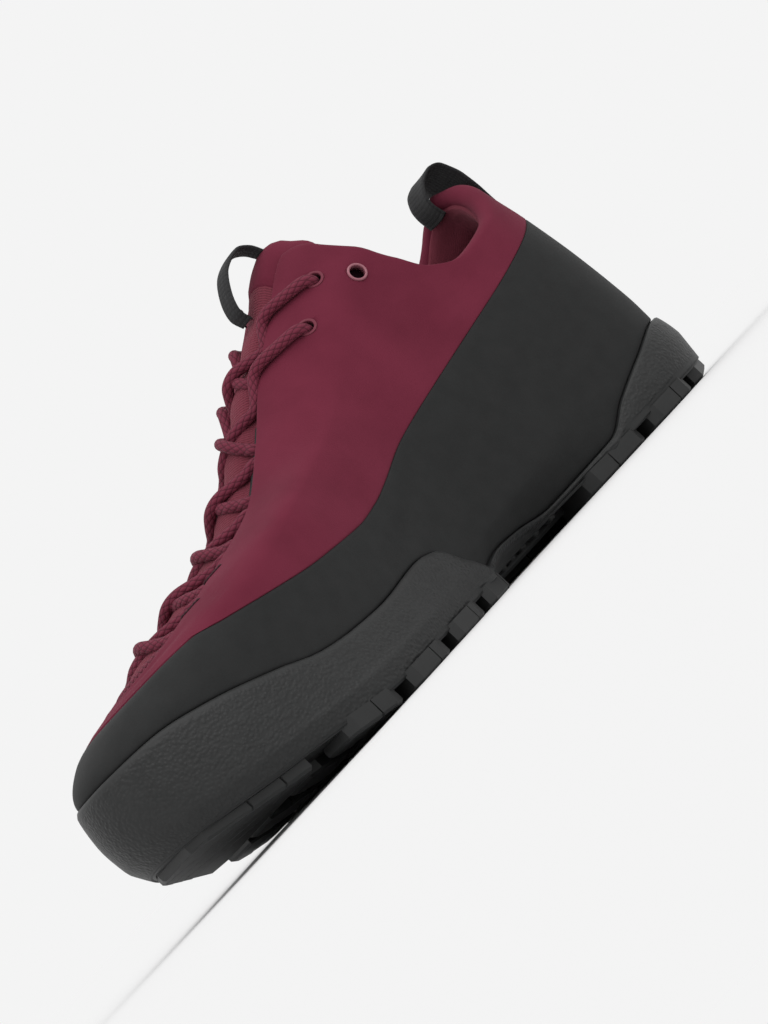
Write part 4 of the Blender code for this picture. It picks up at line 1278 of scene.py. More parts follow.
@dataclass
class Lining:
    """The thin textile inside the upper, from under the edges to the insole."""

    columns: Columns
    start: float = 5.0 * MM
    collar_start: float = 20.0 * MM
    thickness: float = 0.35 * MM
    behind: float = 0.5 * MM
    # distance from a hole within which the lining takes painted shade
    painted_shade_reach: float = 5.0 * MM
    rows: int = 24

    def build(self, holes: list[Matrix]) -> bpy.types.Object:
        """The lining.

        Args:
            holes: frames of the eyelet holes, each with its Z axis outwards.

        Returns:
            The dressed piece.
        """
        columns = self.columns
        first = self.start + (self.collar_start - self.start) * columns.collar
        height = columns.high_height + columns.low_height * (1 - columns.floor)
        first = np.minimum(first, height * 0.8)
        inwards = np.linspace(0, 0.07, self.rows)
        drops = [first + (height - first) * share for share in np.linspace(0, 1, self.rows)]
        depth = UPPER_WALL + self.behind
        front = [columns.below_top(drop, -depth) for drop in drops]
        back = [columns.below_top(drop, -depth - self.thickness) for drop in reversed(drops)]
        made = Make.grid(
            "shoe_lining",
            np.array(front + back),
            KNIT,
            u=np.linspace(0, 0.62, columns.count + 1),
            v=np.concatenate([inwards, np.linspace(0.07, 0, self.rows + 1)]),
        )
        # Lining faces near the eyelet holes take painted shade, so that the holes read dark.
        made.data.materials.append(Make.material(PAINTED_HOLE_SHADE))
        for face in made.data.polygons:
            if face.index < len(front) * columns.count:
                near = min((face.center - frame.translation).length for frame in holes)
                face.material_index = int(near < self.painted_shade_reach)
        return Make.done(made, "burgundy textile")


@dataclass
class Rand:
    """The rubberised band between the sole's rubber and the nubuck."""

    last: Last
    columns: Columns
    thickness: float = 0.9 * MM
    seam_gap: float = 0.03 * MM
    edge_gap: float = 0.05 * MM
    bevel: float = 0.8 * MM
    creases: tuple[Crease, ...] = (
        Crease(((0.44, 0.10), (0.47, 0.13), (0.51, 0.18), (0.545, 0.25)), 3.2 * MM, 0.45 * MM),
        Crease(((0.16, 0.27), (0.20, 0.25), (0.25, 0.20)), 3.0 * MM, 0.35 * MM),
        Crease(((-0.16, 0.27), (-0.20, 0.25), (-0.25, 0.20)), 3.0 * MM, 0.35 * MM),
    )

    def build(self) -> bpy.types.Object:
        """The rand."""
        columns = self.columns
        height = columns.low_height
        clear = self.seam_gap / height
        top = 1 - self.edge_gap / height
        start = columns.seam + clear
        length = (top - start) * height
        rows = []
        for rise, out in ((0.0, -0.80), (0.12, -0.40), (0.40, -0.12)):
            rows.append(columns.low(start + rise * MM / height, out * self.thickness))
        for share in np.linspace(0.0, 1.0, 30):
            up = self.bevel + (length - 2 * self.bevel) * share
            rows.append(columns.low(start + up / height, 0.0))
        for rise, out in ((0.40, -0.06), (0.12, -0.25), (0.0, -0.60)):
            rows.append(columns.low(top - rise * MM / height, out * self.thickness))
        rows = np.array(rows)
        relief = sum(crease.relief(self.last, rows) for crease in self.creases)
        level = columns.low_level((start + top) / 2)
        outward = self.last.normal(level, columns.turn)
        rows = rows + outward[None] * relief[..., None]
        inside = [columns.low(share, -self.thickness) for share in (top, start)]
        made = Make.grid("shoe_rand", np.concatenate([rows, np.array(inside)]), RAND_RUBBER)
        return Make.done(made, "charcoal rand", "rand")


class Lug(NamedTuple):
    """A lug's stations, places across, skew of its front and number of sipes."""

    back: float
    front: float
    inner: float
    outer: float
    skew: float
    sipes: int


LUGS = [
    Lug(0.010, 0.080, 0.97, 0.10, 0.00, 1),
    Lug(0.010, 0.080, -0.10, -0.97, 0.00, 1),
    Lug(0.100, 0.175, 1.03, 0.36, 0.00, 1),
    Lug(0.105, 0.180, 0.24, -0.24, 0.00, 1),
    Lug(0.100, 0.175, -0.36, -1.03, 0.00, 1),
    Lug(0.195, 0.280, 1.03, 0.28, 0.00, 1),
    Lug(0.200, 0.255, 0.16, -0.20, 0.00, 0),
    Lug(0.195, 0.385, -0.32, -1.03, 0.00, 3),
    Lug(0.475, 0.545, 1.03, 0.56, 0.00, 1),
    Lug(0.450, 0.525, -0.56, -1.03, 0.00, 1),
    Lug(0.565, 0.640, 1.03, 0.64, 0.00, 1),
    Lug(0.545, 0.625, -0.62, -1.03, 0.00, 1),
    Lug(0.660, 0.735, 1.03, 0.66, 0.00, 1),
    Lug(0.645, 0.725, -0.64, -1.03, 0.00, 1),
    Lug(0.755, 0.825, 1.02, 0.64, 0.00, 1),
    Lug(0.745, 0.820, -0.62, -1.02, 0.00, 1),
    Lug(0.490, 0.570, 0.42, 0.07, 0.08, 1),
    Lug(0.490, 0.570, -0.07, -0.42, -0.08, 1),
    Lug(0.585, 0.665, 0.48, 0.07, 0.08, 1),
    Lug(0.585, 0.665, -0.07, -0.48, -0.08, 1),
    Lug(0.680, 0.760, 0.50, 0.07, 0.08, 1),
    Lug(0.680, 0.760, -0.07, -0.50, -0.08, 1),
    Lug(0.775, 0.835, 0.48, 0.07, 0.06, 1),
    Lug(0.775, 0.835, -0.07, -0.48, -0.06, 1),
    Lug(0.855, 0.985, 0.94, -0.94, 0.00, 4),
]
SHANK = Lug(0.270, 0.480, 0.46, -0.46, 0.00, 0)


@dataclass
class Outsole:
    """The rubber sole: its grained sidewall, underside, lugs, shank plate and ribs."""

    last: Last
    columns: Columns
    lip: float = 1.4 * MM
    smooth_band: float = 3.2 * MM
    chamfer: float = 0.8 * MM
    sipe: float = 0.45 * MM
    sipe_depth: float = 2.2 * MM
    corner: float = 0.012
    root: float = 1.5 * MM
    shank_lift: float = 2.8 * MM
    ribs: tuple[float, ...] = (0.325, 0.350, 0.375, 0.400, 0.425, 0.450)
    across: int = 20

    def side_rows(self) -> tuple[list[Array], list[Array]]:
        """The sidewall's rows from the inner floor to the underside, and how grained each is."""
        last, columns = self.last, self.columns
        station = last.station(BASE_LEVEL, columns.turn)
        flare = last.flare(station)
        start = np.minimum(columns.floor, columns.seam)
        none = np.zeros(columns.count)
        rows, grain = [columns.low(start, -2.4 * MM)], [none]
        for out in (-1.0 * MM, 0.5 * MM, 1.0 * MM):
            rows.append(columns.low(columns.seam, out))
            grain.append(none)
        height = np.maximum(columns.seam * columns.low_height, 4 * MM)
        waist = smooth(-station, -0.50, -0.47) * (columns.turn > 0)
        arch = smooth(station, 0.235, 0.27) * waist
        inner_heel = smooth(station, 0.19, 0.215) * waist
        for share in np.concatenate([[0.02, 0.05, 0.09], np.linspace(0.14, 0.97, 20)]):
            level = columns.low_level(columns.seam * (1 - share))
            swell = self.lip + (flare - self.lip) * min(1.0, 2.2 * share) ** 0.7
            edge = np.clip(share * height / (0.5 * MM), 0.0, 1.0)
            swell = swell - 0.4 * MM * (1 - np.sqrt(1 - (1 - edge) ** 2))
            hollow = 1.1 * MM * arch * smooth(share, 0.35, 0.65)
            rows.append(last.beside(level, columns.turn, swell - hollow))
            above, below = (1 - share) * height, share * height
            wanted = smooth(above, self.smooth_band - 0.3 * MM, self.smooth_band + 0.3 * MM)
            off_edge = smooth(below, 0.5 * MM, 1.1 * MM)
            band = smooth(-below, -3.6 * MM, -3.1 * MM)
            grain.append(wanted * off_edge * (1 - inner_heel) + band * inner_heel * off_edge)
        base = last.beside(BASE_LEVEL, columns.turn, flare)
        inward = unit(last.point(BASE_LEVEL, columns.turn) - base)
        for drop, inset in ((0.9 * MM, 0.15 * MM), (0.35 * MM, 0.5 * MM), (0.0, 1.2 * MM)):
            row = base + inward * inset
            row[:, 2] = base[:, 2] + drop
            rows.append(row)
            grain.append(none)
        return rows, grain

    def cap(self, ring: Array, start: int, points: list[Array], faces: list) -> None:
        """Spans a closed ring of columns from side to side.

        Args:
            ring: the ring's points.
            start: the index of its first vertex.
            points: vertices so far, which grow.
            faces: faces so far, which grow.
        """
        total = len(ring)
        half = total // 2
        offset = sum(len(p) for p in points)
        rows = [[start]]
        made = []
        for j in range(1, half):
            near, far = ring[j], ring[total - j]
            shares = np.linspace(0, 1, self.across + 2)[1:-1, None]
            made.append(near + (far - near) * shares)
            first = offset + (j - 1) * self.across
            rows.append([start + j, *range(first, first + self.across), start + total - j])
        rows.append([start + half])
        points.append(np.concatenate(made))
        for before, after in zip(rows, rows[1:]):
            if len(before) == 1:
                faces += [(before[0], a, b) for a, b in zip(after, after[1:])]
            elif len(after) == 1:
                faces += [(after[0], a, b) for a, b in zip(before, before[1:])]
            else:
                faces += list(zip(before, before[1:], after[1:], after))

    def block(self, plan: Array, low: Array, top: Array, name: str) -> bpy.types.Object:
        """A chamfered block on a convex plan, from this height down to the low height.

        Args:
            plan: its corners in plan.
            low: heights of the lower face.
            top: heights of the upper face.
            name: the object's name.

        Returns:
            the block.
        """
        centre = plan.mean(0)
        reach = np.linalg.norm(plan - centre, axis=1, keepdims=True)
        inset = plan + (centre - plan) * np.minimum(1.25 * self.chamfer / reach, 0.6)
        rings = []
        for outline, height in ((plan, top), (plan, low + self.chamfer), (inset, low)):
            heights = np.broadcast_to(height, (len(plan),))
            rings.append(np.concatenate([outline, heights[:, None]], 1))
        made = Make.grid(name, np.array(rings), SOLE_RUBBER, tube=False)
        made.data.shade_flat()
        return made

    def plan(self, lug: Lug) -> Array:
        """The corners of a lug in plan.

        Args:
            lug: the lug.

        Returns:
            the corners, in order round it.
        """
        nick = 0.10 * abs(lug.inner - lug.outer)
        back, front = lug.back + self.corner, lug.front - self.corner
        corners = np.array(
            [
                (back, lug.inner),
                (front, lug.inner + lug.skew),
                (lug.front, lug.inner + lug.skew - nick),
                (lug.front, lug.outer + lug.skew + nick),
                (front, lug.outer + lug.skew),
                (back, lug.outer),
                (lug.back, lug.outer + nick),
                (lug.back, lug.inner - nick),
            ]
        )
        return self.last.tread(corners[:, 0], corners[:, 1], 0.0)[:, :2]

    @staticmethod
    def clip(plan: Array, point: Array, normal: Array) -> Array:
        """The part of a convex plan on the side of a line that its normal points to.

        Args:
            plan: corners of the plan.
            point: a point on the line.
            normal: the line's normal.

        Returns:
            the corners that are left.
        """
        kept = []
        for a, b in zip(plan, np.roll(plan, -1, axis=0)):
            da, db = np.dot(a - point, normal), np.dot(b - point, normal)
            if da >= 0:
                kept.append(a)
            if da * db < 0:
                kept.append(a + (b - a) * da / (da - db))
        return np.array(kept)

    def lug_blocks(self, lug: Lug, lift: float = 0.0) -> list[bpy.types.Object]:
        """A lug as a core and the blocks between its sipes.

        Args:
            lug: the lug.
            lift: how far its ground face is raised.

        Returns:
            its core and blocks.
        """
        plan = self.plan(lug)

        def stations(corners: Array) -> Array:
            """Stations of the corners."""
            return (corners[:, 0] - SHIFT[0]) / (0.976 * self.last.length) + 0.5

        def tread(corners: Array) -> Array:
            """Heights of the ground face at the corners."""
            return self.last.tread_height(stations(corners)) + lift

        def top(corners: Array) -> Array:
            """Heights of the root at the corners."""
            return self.last.base_height(stations(corners)) + self.root

        if not lug.sipes:
            return [self.block(plan, tread(plan), top(plan), "block")]
        centre = plan.mean(0)
        core = plan + (centre - plan) * 0.04
        blocks = [self.block(core, tread(core) + self.sipe_depth, top(core), "core")]
        ahead = self.last.tread(lug.front, 0.5 * (lug.inner + lug.outer), 0.0)[:2]
        behind = self.last.tread(lug.back, 0.5 * (lug.inner + lug.outer), 0.0)[:2]
        along = unit(ahead - behind)
        slant = unit(along + 0.22 * np.array([-along[1], along[0]]) * (1 if lug.inner > 0 else -1))
        length = np.dot(ahead - behind, slant)
        for k in range(lug.sipes + 1):
            part = plan
            if k > 0:
                line = behind + slant * (length * k / (lug.sipes + 1) + self.sipe / 2)
                part = self.clip(part, line, slant)
            if k < lug.sipes:
                line = behind + slant * (length * (k + 1) / (lug.sipes + 1) - self.sipe / 2)
                part = self.clip(part, line, -slant)
            if len(part) > 2:
                blocks.append(self.block(part, tread(part), top(part), "block"))
        return blocks

    def rib(self, station: float) -> bpy.types.Object:
        """A rib of the hollow beside the shank plate, swept back from the inner edge.

        Args:
            station: place of its inner end, 0 at the heel to 1.

        Returns:
            the rib.
        """
        share = np.linspace(0, 1, 12)
        middle = station - 0.030 * share ** 2
        across = 0.94 + (0.36 - 0.94) * share
        path = self.last.tread(middle, across, self.last.base_height(middle) + 0.2 * MM)
        return Make.sweep("rib", path, 1.3 * MM, 8, SOLE_RUBBER)

    def build(self) -> bpy.types.Object:
        """The outsole."""
        side, grain = self.side_rows()
        rows, total = len(side), self.columns.count
        points = [np.array(side).reshape(-1, 3)]
        _, _, faces = lattice(rows, total, rows - 1, total)
        self.cap(side[0], 0, points, faces)
        self.cap(side[-1], (rows - 1) * total, points, faces)
        wall = Make.mesh("wall", np.concatenate(points), faces, SOLE_RUBBER)
        wall_grain = np.zeros(len(wall.data.vertices))
        wall_grain[: rows * total] = np.array(grain).ravel()
        parts = [wall]
        for lug in LUGS:
            parts += self.lug_blocks(lug)
        parts += self.lug_blocks(SHANK, self.shank_lift)
        parts += [self.rib(station) for station in self.ribs]
        made = Make.join("shoe_outsole", parts)
        values = np.zeros(len(made.data.vertices))
        values[: len(wall_grain)] = wall_grain
        Make.attribute(made, "grain", values)
        return Make.done(made, "black rubber", "outsole")


@dataclass
class ArchInlay:
    """The plain lozenge in the shank plate."""

    last: Last
    station: float = 0.365
    across: float = 0.13
    length: float = 36 * MM
    width: float = 13 * MM
    low: float = 2.75 * MM
    high: float = 4.0 * MM
    sides: int = 64

    def build(self) -> bpy.types.Object:
        """The inlay, with a soft edge."""
        centre = self.last.tread(self.station, self.across, 0.0)
        ahead = self.last.tread(self.station + 0.05, self.across, 0.0)
        along = unit(ahead - centre)
        beside = np.array([-along[1], along[0], 0.0])
        angle = np.linspace(0, 2 * np.pi, self.sides, endpoint=False)
        squared = np.abs(np.sin(angle)) ** 0.8 * np.sign(np.sin(angle))
        rings = []
        edge = (
            (0.0, self.high),
            (0.0, self.low + 0.5 * MM),
            (0.25 * MM, self.low + 0.1 * MM),
            (0.8 * MM, self.low),
        )
        for inset, height in edge:
            x = (self.length / 2 - inset) * np.cos(angle)
            y = (self.width / 2 - inset) * squared
            flat = centre + x[:, None] * along + y[:, None] * beside
            rings.append(flat + np.array([0, 0, height]))
        made = Make.grid("shoe_arch_inlay", np.array(rings), AMBER, tube=False)
        return Make.done(made, "amber inlay", "arch_inlay")


@dataclass
class Insole:
    """The removable insole."""

    last: Last
    columns: Columns
    inset: float = 3.2 * MM
    thickness: float = 4.0 * MM
    # how far in each ring lies, and its height as a share of the thickness
    dish: tuple[tuple[float, float], ...] = (
        (0.0, 0.0),
        (0.0, 0.8),
        (0.03, 1.0),
        (0.12, 0.97),
        (0.28, 0.85),
        (0.45, 0.8),
    )

    def build(self) -> bpy.types.Object:
        """The insole, a little dished."""
        columns, total = self.columns, self.columns.count
        edge = columns.low(columns.floor, -self.inset)
        floor = self.last.floor_height((edge[:, 0] - SHIFT[0]) / self.last.length + 0.5)
        rings = []
        middle = np.array([edge[(total - j) % total] for j in range(total)])
        for inset, height in self.dish:
            ring = edge + (middle - edge) * inset
            ring[:, 2] = floor + self.thickness * height
            rings.append(ring)
        made = Make.grid("shoe_insole", np.array(rings), FOAM, tube=False)
        return Make.done(made, "insole foam", "insole")


@dataclass
class Tongue:
    """The padded tongue under the laces, with its nubuck cap."""

    last: Last
    bottom: float = 0.350
    top: float = 1.065
    thickness: float = 5.0 * MM
    cap_start: float = 0.955
    half: int = 26
    girth: float = 90 * MM
    quilt: float = 0.5 * MM
    quilt_pitch: float = 0.075
    round_end: float = 0.065
    crown: Curve = field(
        default_factory=lambda: Curve([0.0, 0.25, 0.5, 1.0], [1.0, 0.85, 0.0, 0.0])
    )

    def section(self, level: float, grow: float) -> Array:
        """A closed section of the tongue.

        Args:
            level: the level of its middle.
            grow: how far the section is grown outwards.

        Returns:
            Its points, the outer face first.
        """
        sink = UPPER_WALL + KEEPER_THICKNESS + 2 * FIT_GAP
        reach = 0.17 + 0.11 * max(0.0, (level - 0.75) / 0.3)
        end = min(1.0, (self.top - level) / 0.05)
        round_top = math.sqrt(max(1 - (1 - max(end, 0.0)) ** 2, 0.0))
        start = float(smooth(level, 0.38, 0.43))
        puff = float(smooth(level, 0.90, 0.99))
        angle = np.linspace(0, np.pi, self.half)
        place = np.cos(angle)
        drop = 0.12 * place ** 2 * max(0.0, (level - 0.8) / 0.265)
        crown = sink * self.crown.at(np.abs(place)) * start
        rim = (1 - np.abs(place) ** 5) ** 0.5
        wave = self.quilt * math.sin(2 * math.pi * (level - 0.415) / self.quilt_pitch)
        quilt = wave * (1 - place ** 2) * start * (1 - puff)
        outer = crown - sink + quilt + puff * 1.0 * MM * (1 - place ** 2)
        inner = -sink - self.thickness * (1 + 0.35 * puff)
        middle, half = (outer + inner) / 2, (outer - inner) / 2
        outs = [middle + half * rim * round_top + grow, middle - half * rim * round_top - grow]
        turn = place * reach
        side = grow / (60 * MM) * place
        front = self.last.off(level - drop, turn + side, outs[0])
        back = self.last.off(level - drop[::-1], (turn + side)[::-1], outs[1][::-1])
        return np.concatenate([front, back[1:-1]])

    def sheet(self, name: str, levels: Array, grows: Array, finish: Finish) -> bpy.types.Object:
        """A closed padded form through sections at these levels."""
        sections = np.array([self.section(level, grow) for level, grow in zip(levels, grows)])
        width = np.linspace(0, self.girth, sections.shape[1] + 1)
        lengths = run(sections[:, self.half // 2])
        return Make.grid(name, sections, finish, tube=False, u=width, v=lengths)

    def levels(self, start: float, count: int) -> Array:
        """Levels of the sections from a start up, closer together round the top."""
        over = self.top - self.round_end * np.linspace(1, 0, 22)[1:] ** 1.6
        return np.concatenate([np.linspace(start, 1.0, count), over])

    def build(self) -> list[bpy.types.Object]:
        """The tongue and its cap."""
        levels = self.levels(self.bottom, 110)
        body = self.sheet("shoe_tongue", levels, np.zeros(len(levels)), TEXTILE)
        Make.done(body, "burgundy textile", "tongue")
        levels = self.levels(self.cap_start, 14)
        grows = 0.7 * MM * smooth(levels, self.cap_start - 0.004, self.cap_start + 0.012) - 0.1 * MM
        cap = self.sheet("shoe_tongue_cap", levels, grows, NUBUCK)
        Make.done(cap, "burgundy nubuck")
        return [body, cap]


@dataclass
class CollarPadding:
    """The padded textile inside the collar."""

    last: Last
    columns: Columns
    front: float = 0.47
    depth: float = 26 * MM
    thickness: float = 6.5 * MM
    profile: Curve = field(
        default_factory=lambda: Curve(
            [0.0, 0.10, 0.30, 0.60, 0.85, 1.0], [0.30, 0.80, 1.0, 0.90, 0.55, 0.15]
        )
    )

    def build(self) -> bpy.types.Object:
        """The padding, open at the front of the collar."""
        columns = self.columns
        wanted = np.abs(columns.top_turn) > self.front
        share = np.cumsum(wanted) / wanted.sum()
        taper = np.clip(np.minimum(0.2 + 7 * share, 0.2 + 7 * (1 - share)), 0.0, 1.0)
        start = UPPER_WALL + 0.6 * MM
        depths = np.linspace(0.12, 1.0, 22)
        rows = [columns.below_top(self.depth * depth, -start) for depth in depths[::-1]]
        for depth in depths:
            out = -start - self.thickness * float(self.profile.at(depth)) * taper
            rows.append(columns.below_top(self.depth * depth, out))
        points = np.array(rows)[:, wanted]
        count = int(wanted.sum())
        u = np.linspace(0, 0.2, count)
        v = np.concatenate([np.zeros(22), np.linspace(0, self.depth, 22), [self.depth]])
        made = Make.grid("shoe_collar_padding", points, KNIT, ring=False, u=u, v=v)
        Make.done(made, "burgundy textile", "collar_padding")
        return made


@dataclass
class Stitching:
    """Rows of stitches along lines, made with Geometry Nodes."""

    length: float = 2.3 * MM
    radius: float = 0.32 * MM
    jitter: float = 0.08
    seed: int = 7

    def __post_init__(self) -> None:
        """Builds the node tree."""
        tree = bpy.data.node_groups.new("stitch row", "GeometryNodeTree")
        tree.is_modifier = True
        face = tree.interface
        face.new_socket("Geometry", in_out="INPUT", socket_type="NodeSocketGeometry")
        for name in ("Spacing", "Length", "Radius", "Jitter"):
            face.new_socket(name, in_out="INPUT", socket_type="NodeSocketFloat")
        face.new_socket("Seed", in_out="INPUT", socket_type="NodeSocketInt")
        face.new_socket("Material", in_out="INPUT", socket_type="NodeSocketMaterial")
        face.new_socket("Geometry", in_out="OUTPUT", socket_type="NodeSocketGeometry")
        self.tree = tree
        given = self.node("NodeGroupInput").outputs
        line = self.node("GeometryNodeMeshToCurve", {}, {0: given["Geometry"]}).outputs[0]
        inputs = {"Curve": line, "Length": given["Spacing"]}
        places = self.node("GeometryNodeResampleCurve", {"mode": "LENGTH"}, inputs).outputs[0]
        settings = {"data_type": "FLOAT_VECTOR"}
        facing = self.node("GeometryNodeInputNamedAttribute", settings, {"Name": "facing"})
        tangent = self.node("GeometryNodeInputTangent").outputs[0]
        settings = {"primary_axis": "Z", "secondary_axis": "X"}
        turn = self.node("FunctionNodeAxesToRotation", settings, {0: facing.outputs[0], 1: tangent})
        half = self.reckon("MULTIPLY", given["Length"], 0.5)
        back = self.reckon("MULTIPLY", given["Length"], -0.5)
        high = self.reckon("MULTIPLY", given["Radius"], 3.0)
        low = self.reckon("MULTIPLY", given["Radius"], -1.2)
        ends = [
            self.node("ShaderNodeCombineXYZ", {}, inputs).outputs[0]
            for inputs in ({0: back, 2: low}, {2: high}, {0: half, 2: low})
        ]
        inputs = {"Resolution": 6, "Start": ends[0], "Middle": ends[1], "End": ends[2]}
        arc = self.node("GeometryNodeCurveQuadraticBezier", {}, inputs).outputs[0]
        inputs = {"Resolution": 6, "Radius": given["Radius"]}
        ring = self.node("GeometryNodeCurvePrimitiveCircle", {}, inputs)
        inputs = {"Curve": arc, "Profile Curve": ring.outputs[0], "Fill Caps": True}
        stitch = self.node("GeometryNodeCurveToMesh", {}, inputs).outputs[0]
        least = self.reckon("SUBTRACT", 1.0, given["Jitter"])
        most = self.reckon("ADD", 1.0, given["Jitter"])
        size = self.node("FunctionNodeRandomValue", {"data_type": "FLOAT"})
        for key, value in {2: least, 3: most, "Seed": given["Seed"]}.items():
            self.tree.links.new(value, size.inputs[key])
        inputs = {"Points": places, "Instance": stitch}
        inputs |= {"Rotation": turn.outputs[0], "Scale": size.outputs[1]}
        placed = self.node("GeometryNodeInstanceOnPoints", {}, inputs).outputs[0]
        real = self.node("GeometryNodeRealizeInstances", {}, {0: placed}).outputs[0]
        inputs = {"Geometry": real, "Material": given["Material"]}
        dressed = self.node("GeometryNodeSetMaterial", {}, inputs).outputs[0]
        self.node("NodeGroupOutput", {}, {0: dressed})

    def reckon(self, operation: str, *inputs: object) -> bpy.types.NodeSocket:
        """The result of a Math node."""
        made = self.node("ShaderNodeMath", {"operation": operation}, dict(enumerate(inputs)))
        return made.outputs[0]

    def node(
        self, kind: str, settings: dict | None = None, inputs: dict | None = None
    ) -> bpy.types.Node:
        """Adds a node with its settings and inputs.

        Args:
            kind: the node's type.
            settings: its properties by name.
            inputs: a number or socket for each input.

        Returns:
            the node.
        """
        made = self.tree.nodes.new(kind)
        for key, value in (settings or {}).items():
            setattr(made, key, value)
        for key, value in (inputs or {}).items():
            if isinstance(value, bpy.types.NodeSocket):
                self.tree.links.new(value, made.inputs[key])
            else:
                made.inputs[key].default_value = value
        return made

    def along(
        self, name: str, lines: list[tuple[Array, Array]], finish: Finish, spacing: float
    ) -> bpy.types.Object:
        """Stitches along lines.

        Args:
            name: the piece's name.
            lines: points and outward normals of each line.
            finish: the thread's finish.
            spacing: distance between stitches.

        Returns:
            A plain mesh of the stitches.
        """
        points = np.concatenate([line for line, _ in lines])
        edges, start = [], 0
        for line, _ in lines:
            edges += [(start + i, start + i + 1) for i in range(len(line) - 1)]
            start += len(line)
        data = bpy.data.meshes.new(name)
        data.from_pydata(points.tolist(), edges, [])
        made = data.attributes.new("facing", "FLOAT_VECTOR", "POINT")
        normals = np.concatenate([normal for _, normal in lines])
        made.data.foreach_set("vector", normals.astype(np.float32).ravel())
        source = link(name, data)
        step = source.modifiers.new("stitches", "NODES")
        step.node_group = self.tree
        values = {
            "Spacing": spacing,
            "Length": self.length,
            "Radius": self.radius,
            "Jitter": self.jitter,
            "Seed": self.seed,
            "Material": Make.material(finish),
        }
        for item in self.tree.interface.items_tree:
            if item.in_out == "INPUT" and item.name in values:
                step[item.identifier] = values[item.name]
        graph = bpy.context.evaluated_depsgraph_get()
        plain = bpy.data.meshes.new_from_object(source.evaluated_get(graph))
        bpy.data.objects.remove(source)
        plain.shade_smooth()
        return link(name, plain)


@dataclass
class BarTacks:
    """Short dark bars of stitches that hold the keepers at the foot of the throat."""

    last: Last
    levels: tuple[float, ...] = (0.432, 0.482)
    start: float = 0.121
    end: float = 0.150
    spacing: float = 1.2 * MM

    def build(self, stitching: Stitching) -> bpy.types.Object:
        """The bars on both edges.

        Args:
            stitching: the maker of stitches.

        Returns:
            the stitches.
        """
        lines = []
        for side in (1, -1):
            for level in self.levels:
                turn = side * np.linspace(self.start, self.end, 8)
                place = np.full(8, level)
                lines.append((self.last.off(place, turn, 0.0), self.last.normal(place, turn)))
        threads = stitching.along("shoe_upper_stitches", lines, THREAD, self.spacing)
        return Make.done(threads, "burgundy nubuck")


class End(Enum):
    """Which end of the shoe a pull loop is sewn to."""

    HEEL = "heel"
    TONGUE = "tongue"


@dataclass
class PullLoop:
    """A loop of webbing, sewn down at its ends."""

    last: Last
    end: End
    middle_turn: float
    reach: float
    rows: tuple[tuple[float, float], ...]
    thickness: float = 1.4 * MM
    steps: int = 90
    across: int = 10
    stitch_spacing: float = 2.6 * MM

    def build(self, stitching: Stitching) -> list[bpy.types.Object]:
        """The loop and its stitches.

        Args:
            stitching: the maker of stitches.

        Returns:
            the loop and its stitches.
        """
        knots = np.linspace(0, 1, len(self.rows))
        level_at = Curve(knots, [level for level, _ in self.rows])
        seat = FIT_GAP + self.thickness / 2
        out_at = Curve(knots, [seat + self.thickness * out for _, out in self.rows])
        share = np.linspace(0, 1, self.steps)
        place = np.linspace(-1, 1, self.across)
        level, out = level_at.at(share)[:, None], out_at.at(share)[:, None]
        turn = self.middle_turn + self.reach * place[None]
        centres = self.last.off(level + 0 * turn, turn + 0 * level, out + 0 * turn)
        along, over = np.gradient(centres, axis=0), np.gradient(centres, axis=1)
        normal = unit(np.cross(along, over))
        half = self.thickness / 2 * np.clip(1 - np.abs(place) ** 10, 0.25, 1)[None, :, None]
        section = np.concatenate([centres + normal * half, (centres - normal * half)[:, ::-1]], 1)
        lengths = run(centres[:, 0])
        width = float(np.linalg.norm(centres[0, -1] - centres[0, 0]))
        over_it = np.linspace(0, width, self.across)
        round_it = np.concatenate([over_it, np.linspace(width, 0, self.across), [0.0]])
        name = f"shoe_{self.end.value}_loop"
        made = Make.grid(name, section, WEBBING, tube=False, u=round_it, v=lengths)
        Make.done(made, "black webbing", f"{self.end.value}_loop")
        lines = []
        for k in (1, self.across - 2):
            top = centres[2:16, k] + normal[2:16, k] * self.thickness * 0.5
            lines.append((top, normal[2:16, k]))
        threads = stitching.along(f"{name}_stitches", lines, THREAD, self.stitch_spacing)
        return [made, Make.done(threads, "black webbing")]


@dataclass
class Keeper:
    """The webbing strip under one edge of the throat that the lower laces run through."""

    last: Last
    side: int
    span: tuple[float, float] = (0.385, 0.745)
    reach: tuple[float, float] = (0.092, 0.150)

    def build(self) -> bpy.types.Object:
        """The strip."""
        level = np.linspace(*self.span, 40)[:, None]
        turn = self.side * np.linspace(*self.reach, 8)[None]
        sink = UPPER_WALL + FIT_GAP
        shape = level + 0 * turn
        front = self.last.off(shape, turn + 0 * level, -sink)
        back = self.last.off(shape, turn + 0 * level, -sink - KEEPER_THICKNESS)
        section = np.concatenate([front, back[:, ::-1]], 1)
        v = np.linspace(0, 0.1, 40)
        u = np.concatenate([np.linspace(0, 0.01, 8), np.linspace(0.01, 0, 9)])
        name = "inner" if self.side > 0 else "outer"
        made = Make.grid(f"shoe_lace_keeper_{name}", section, WEBBING, tube=False, u=u, v=v)
        return Make.done(made, "black webbing", f"lace_keeper_{name}")


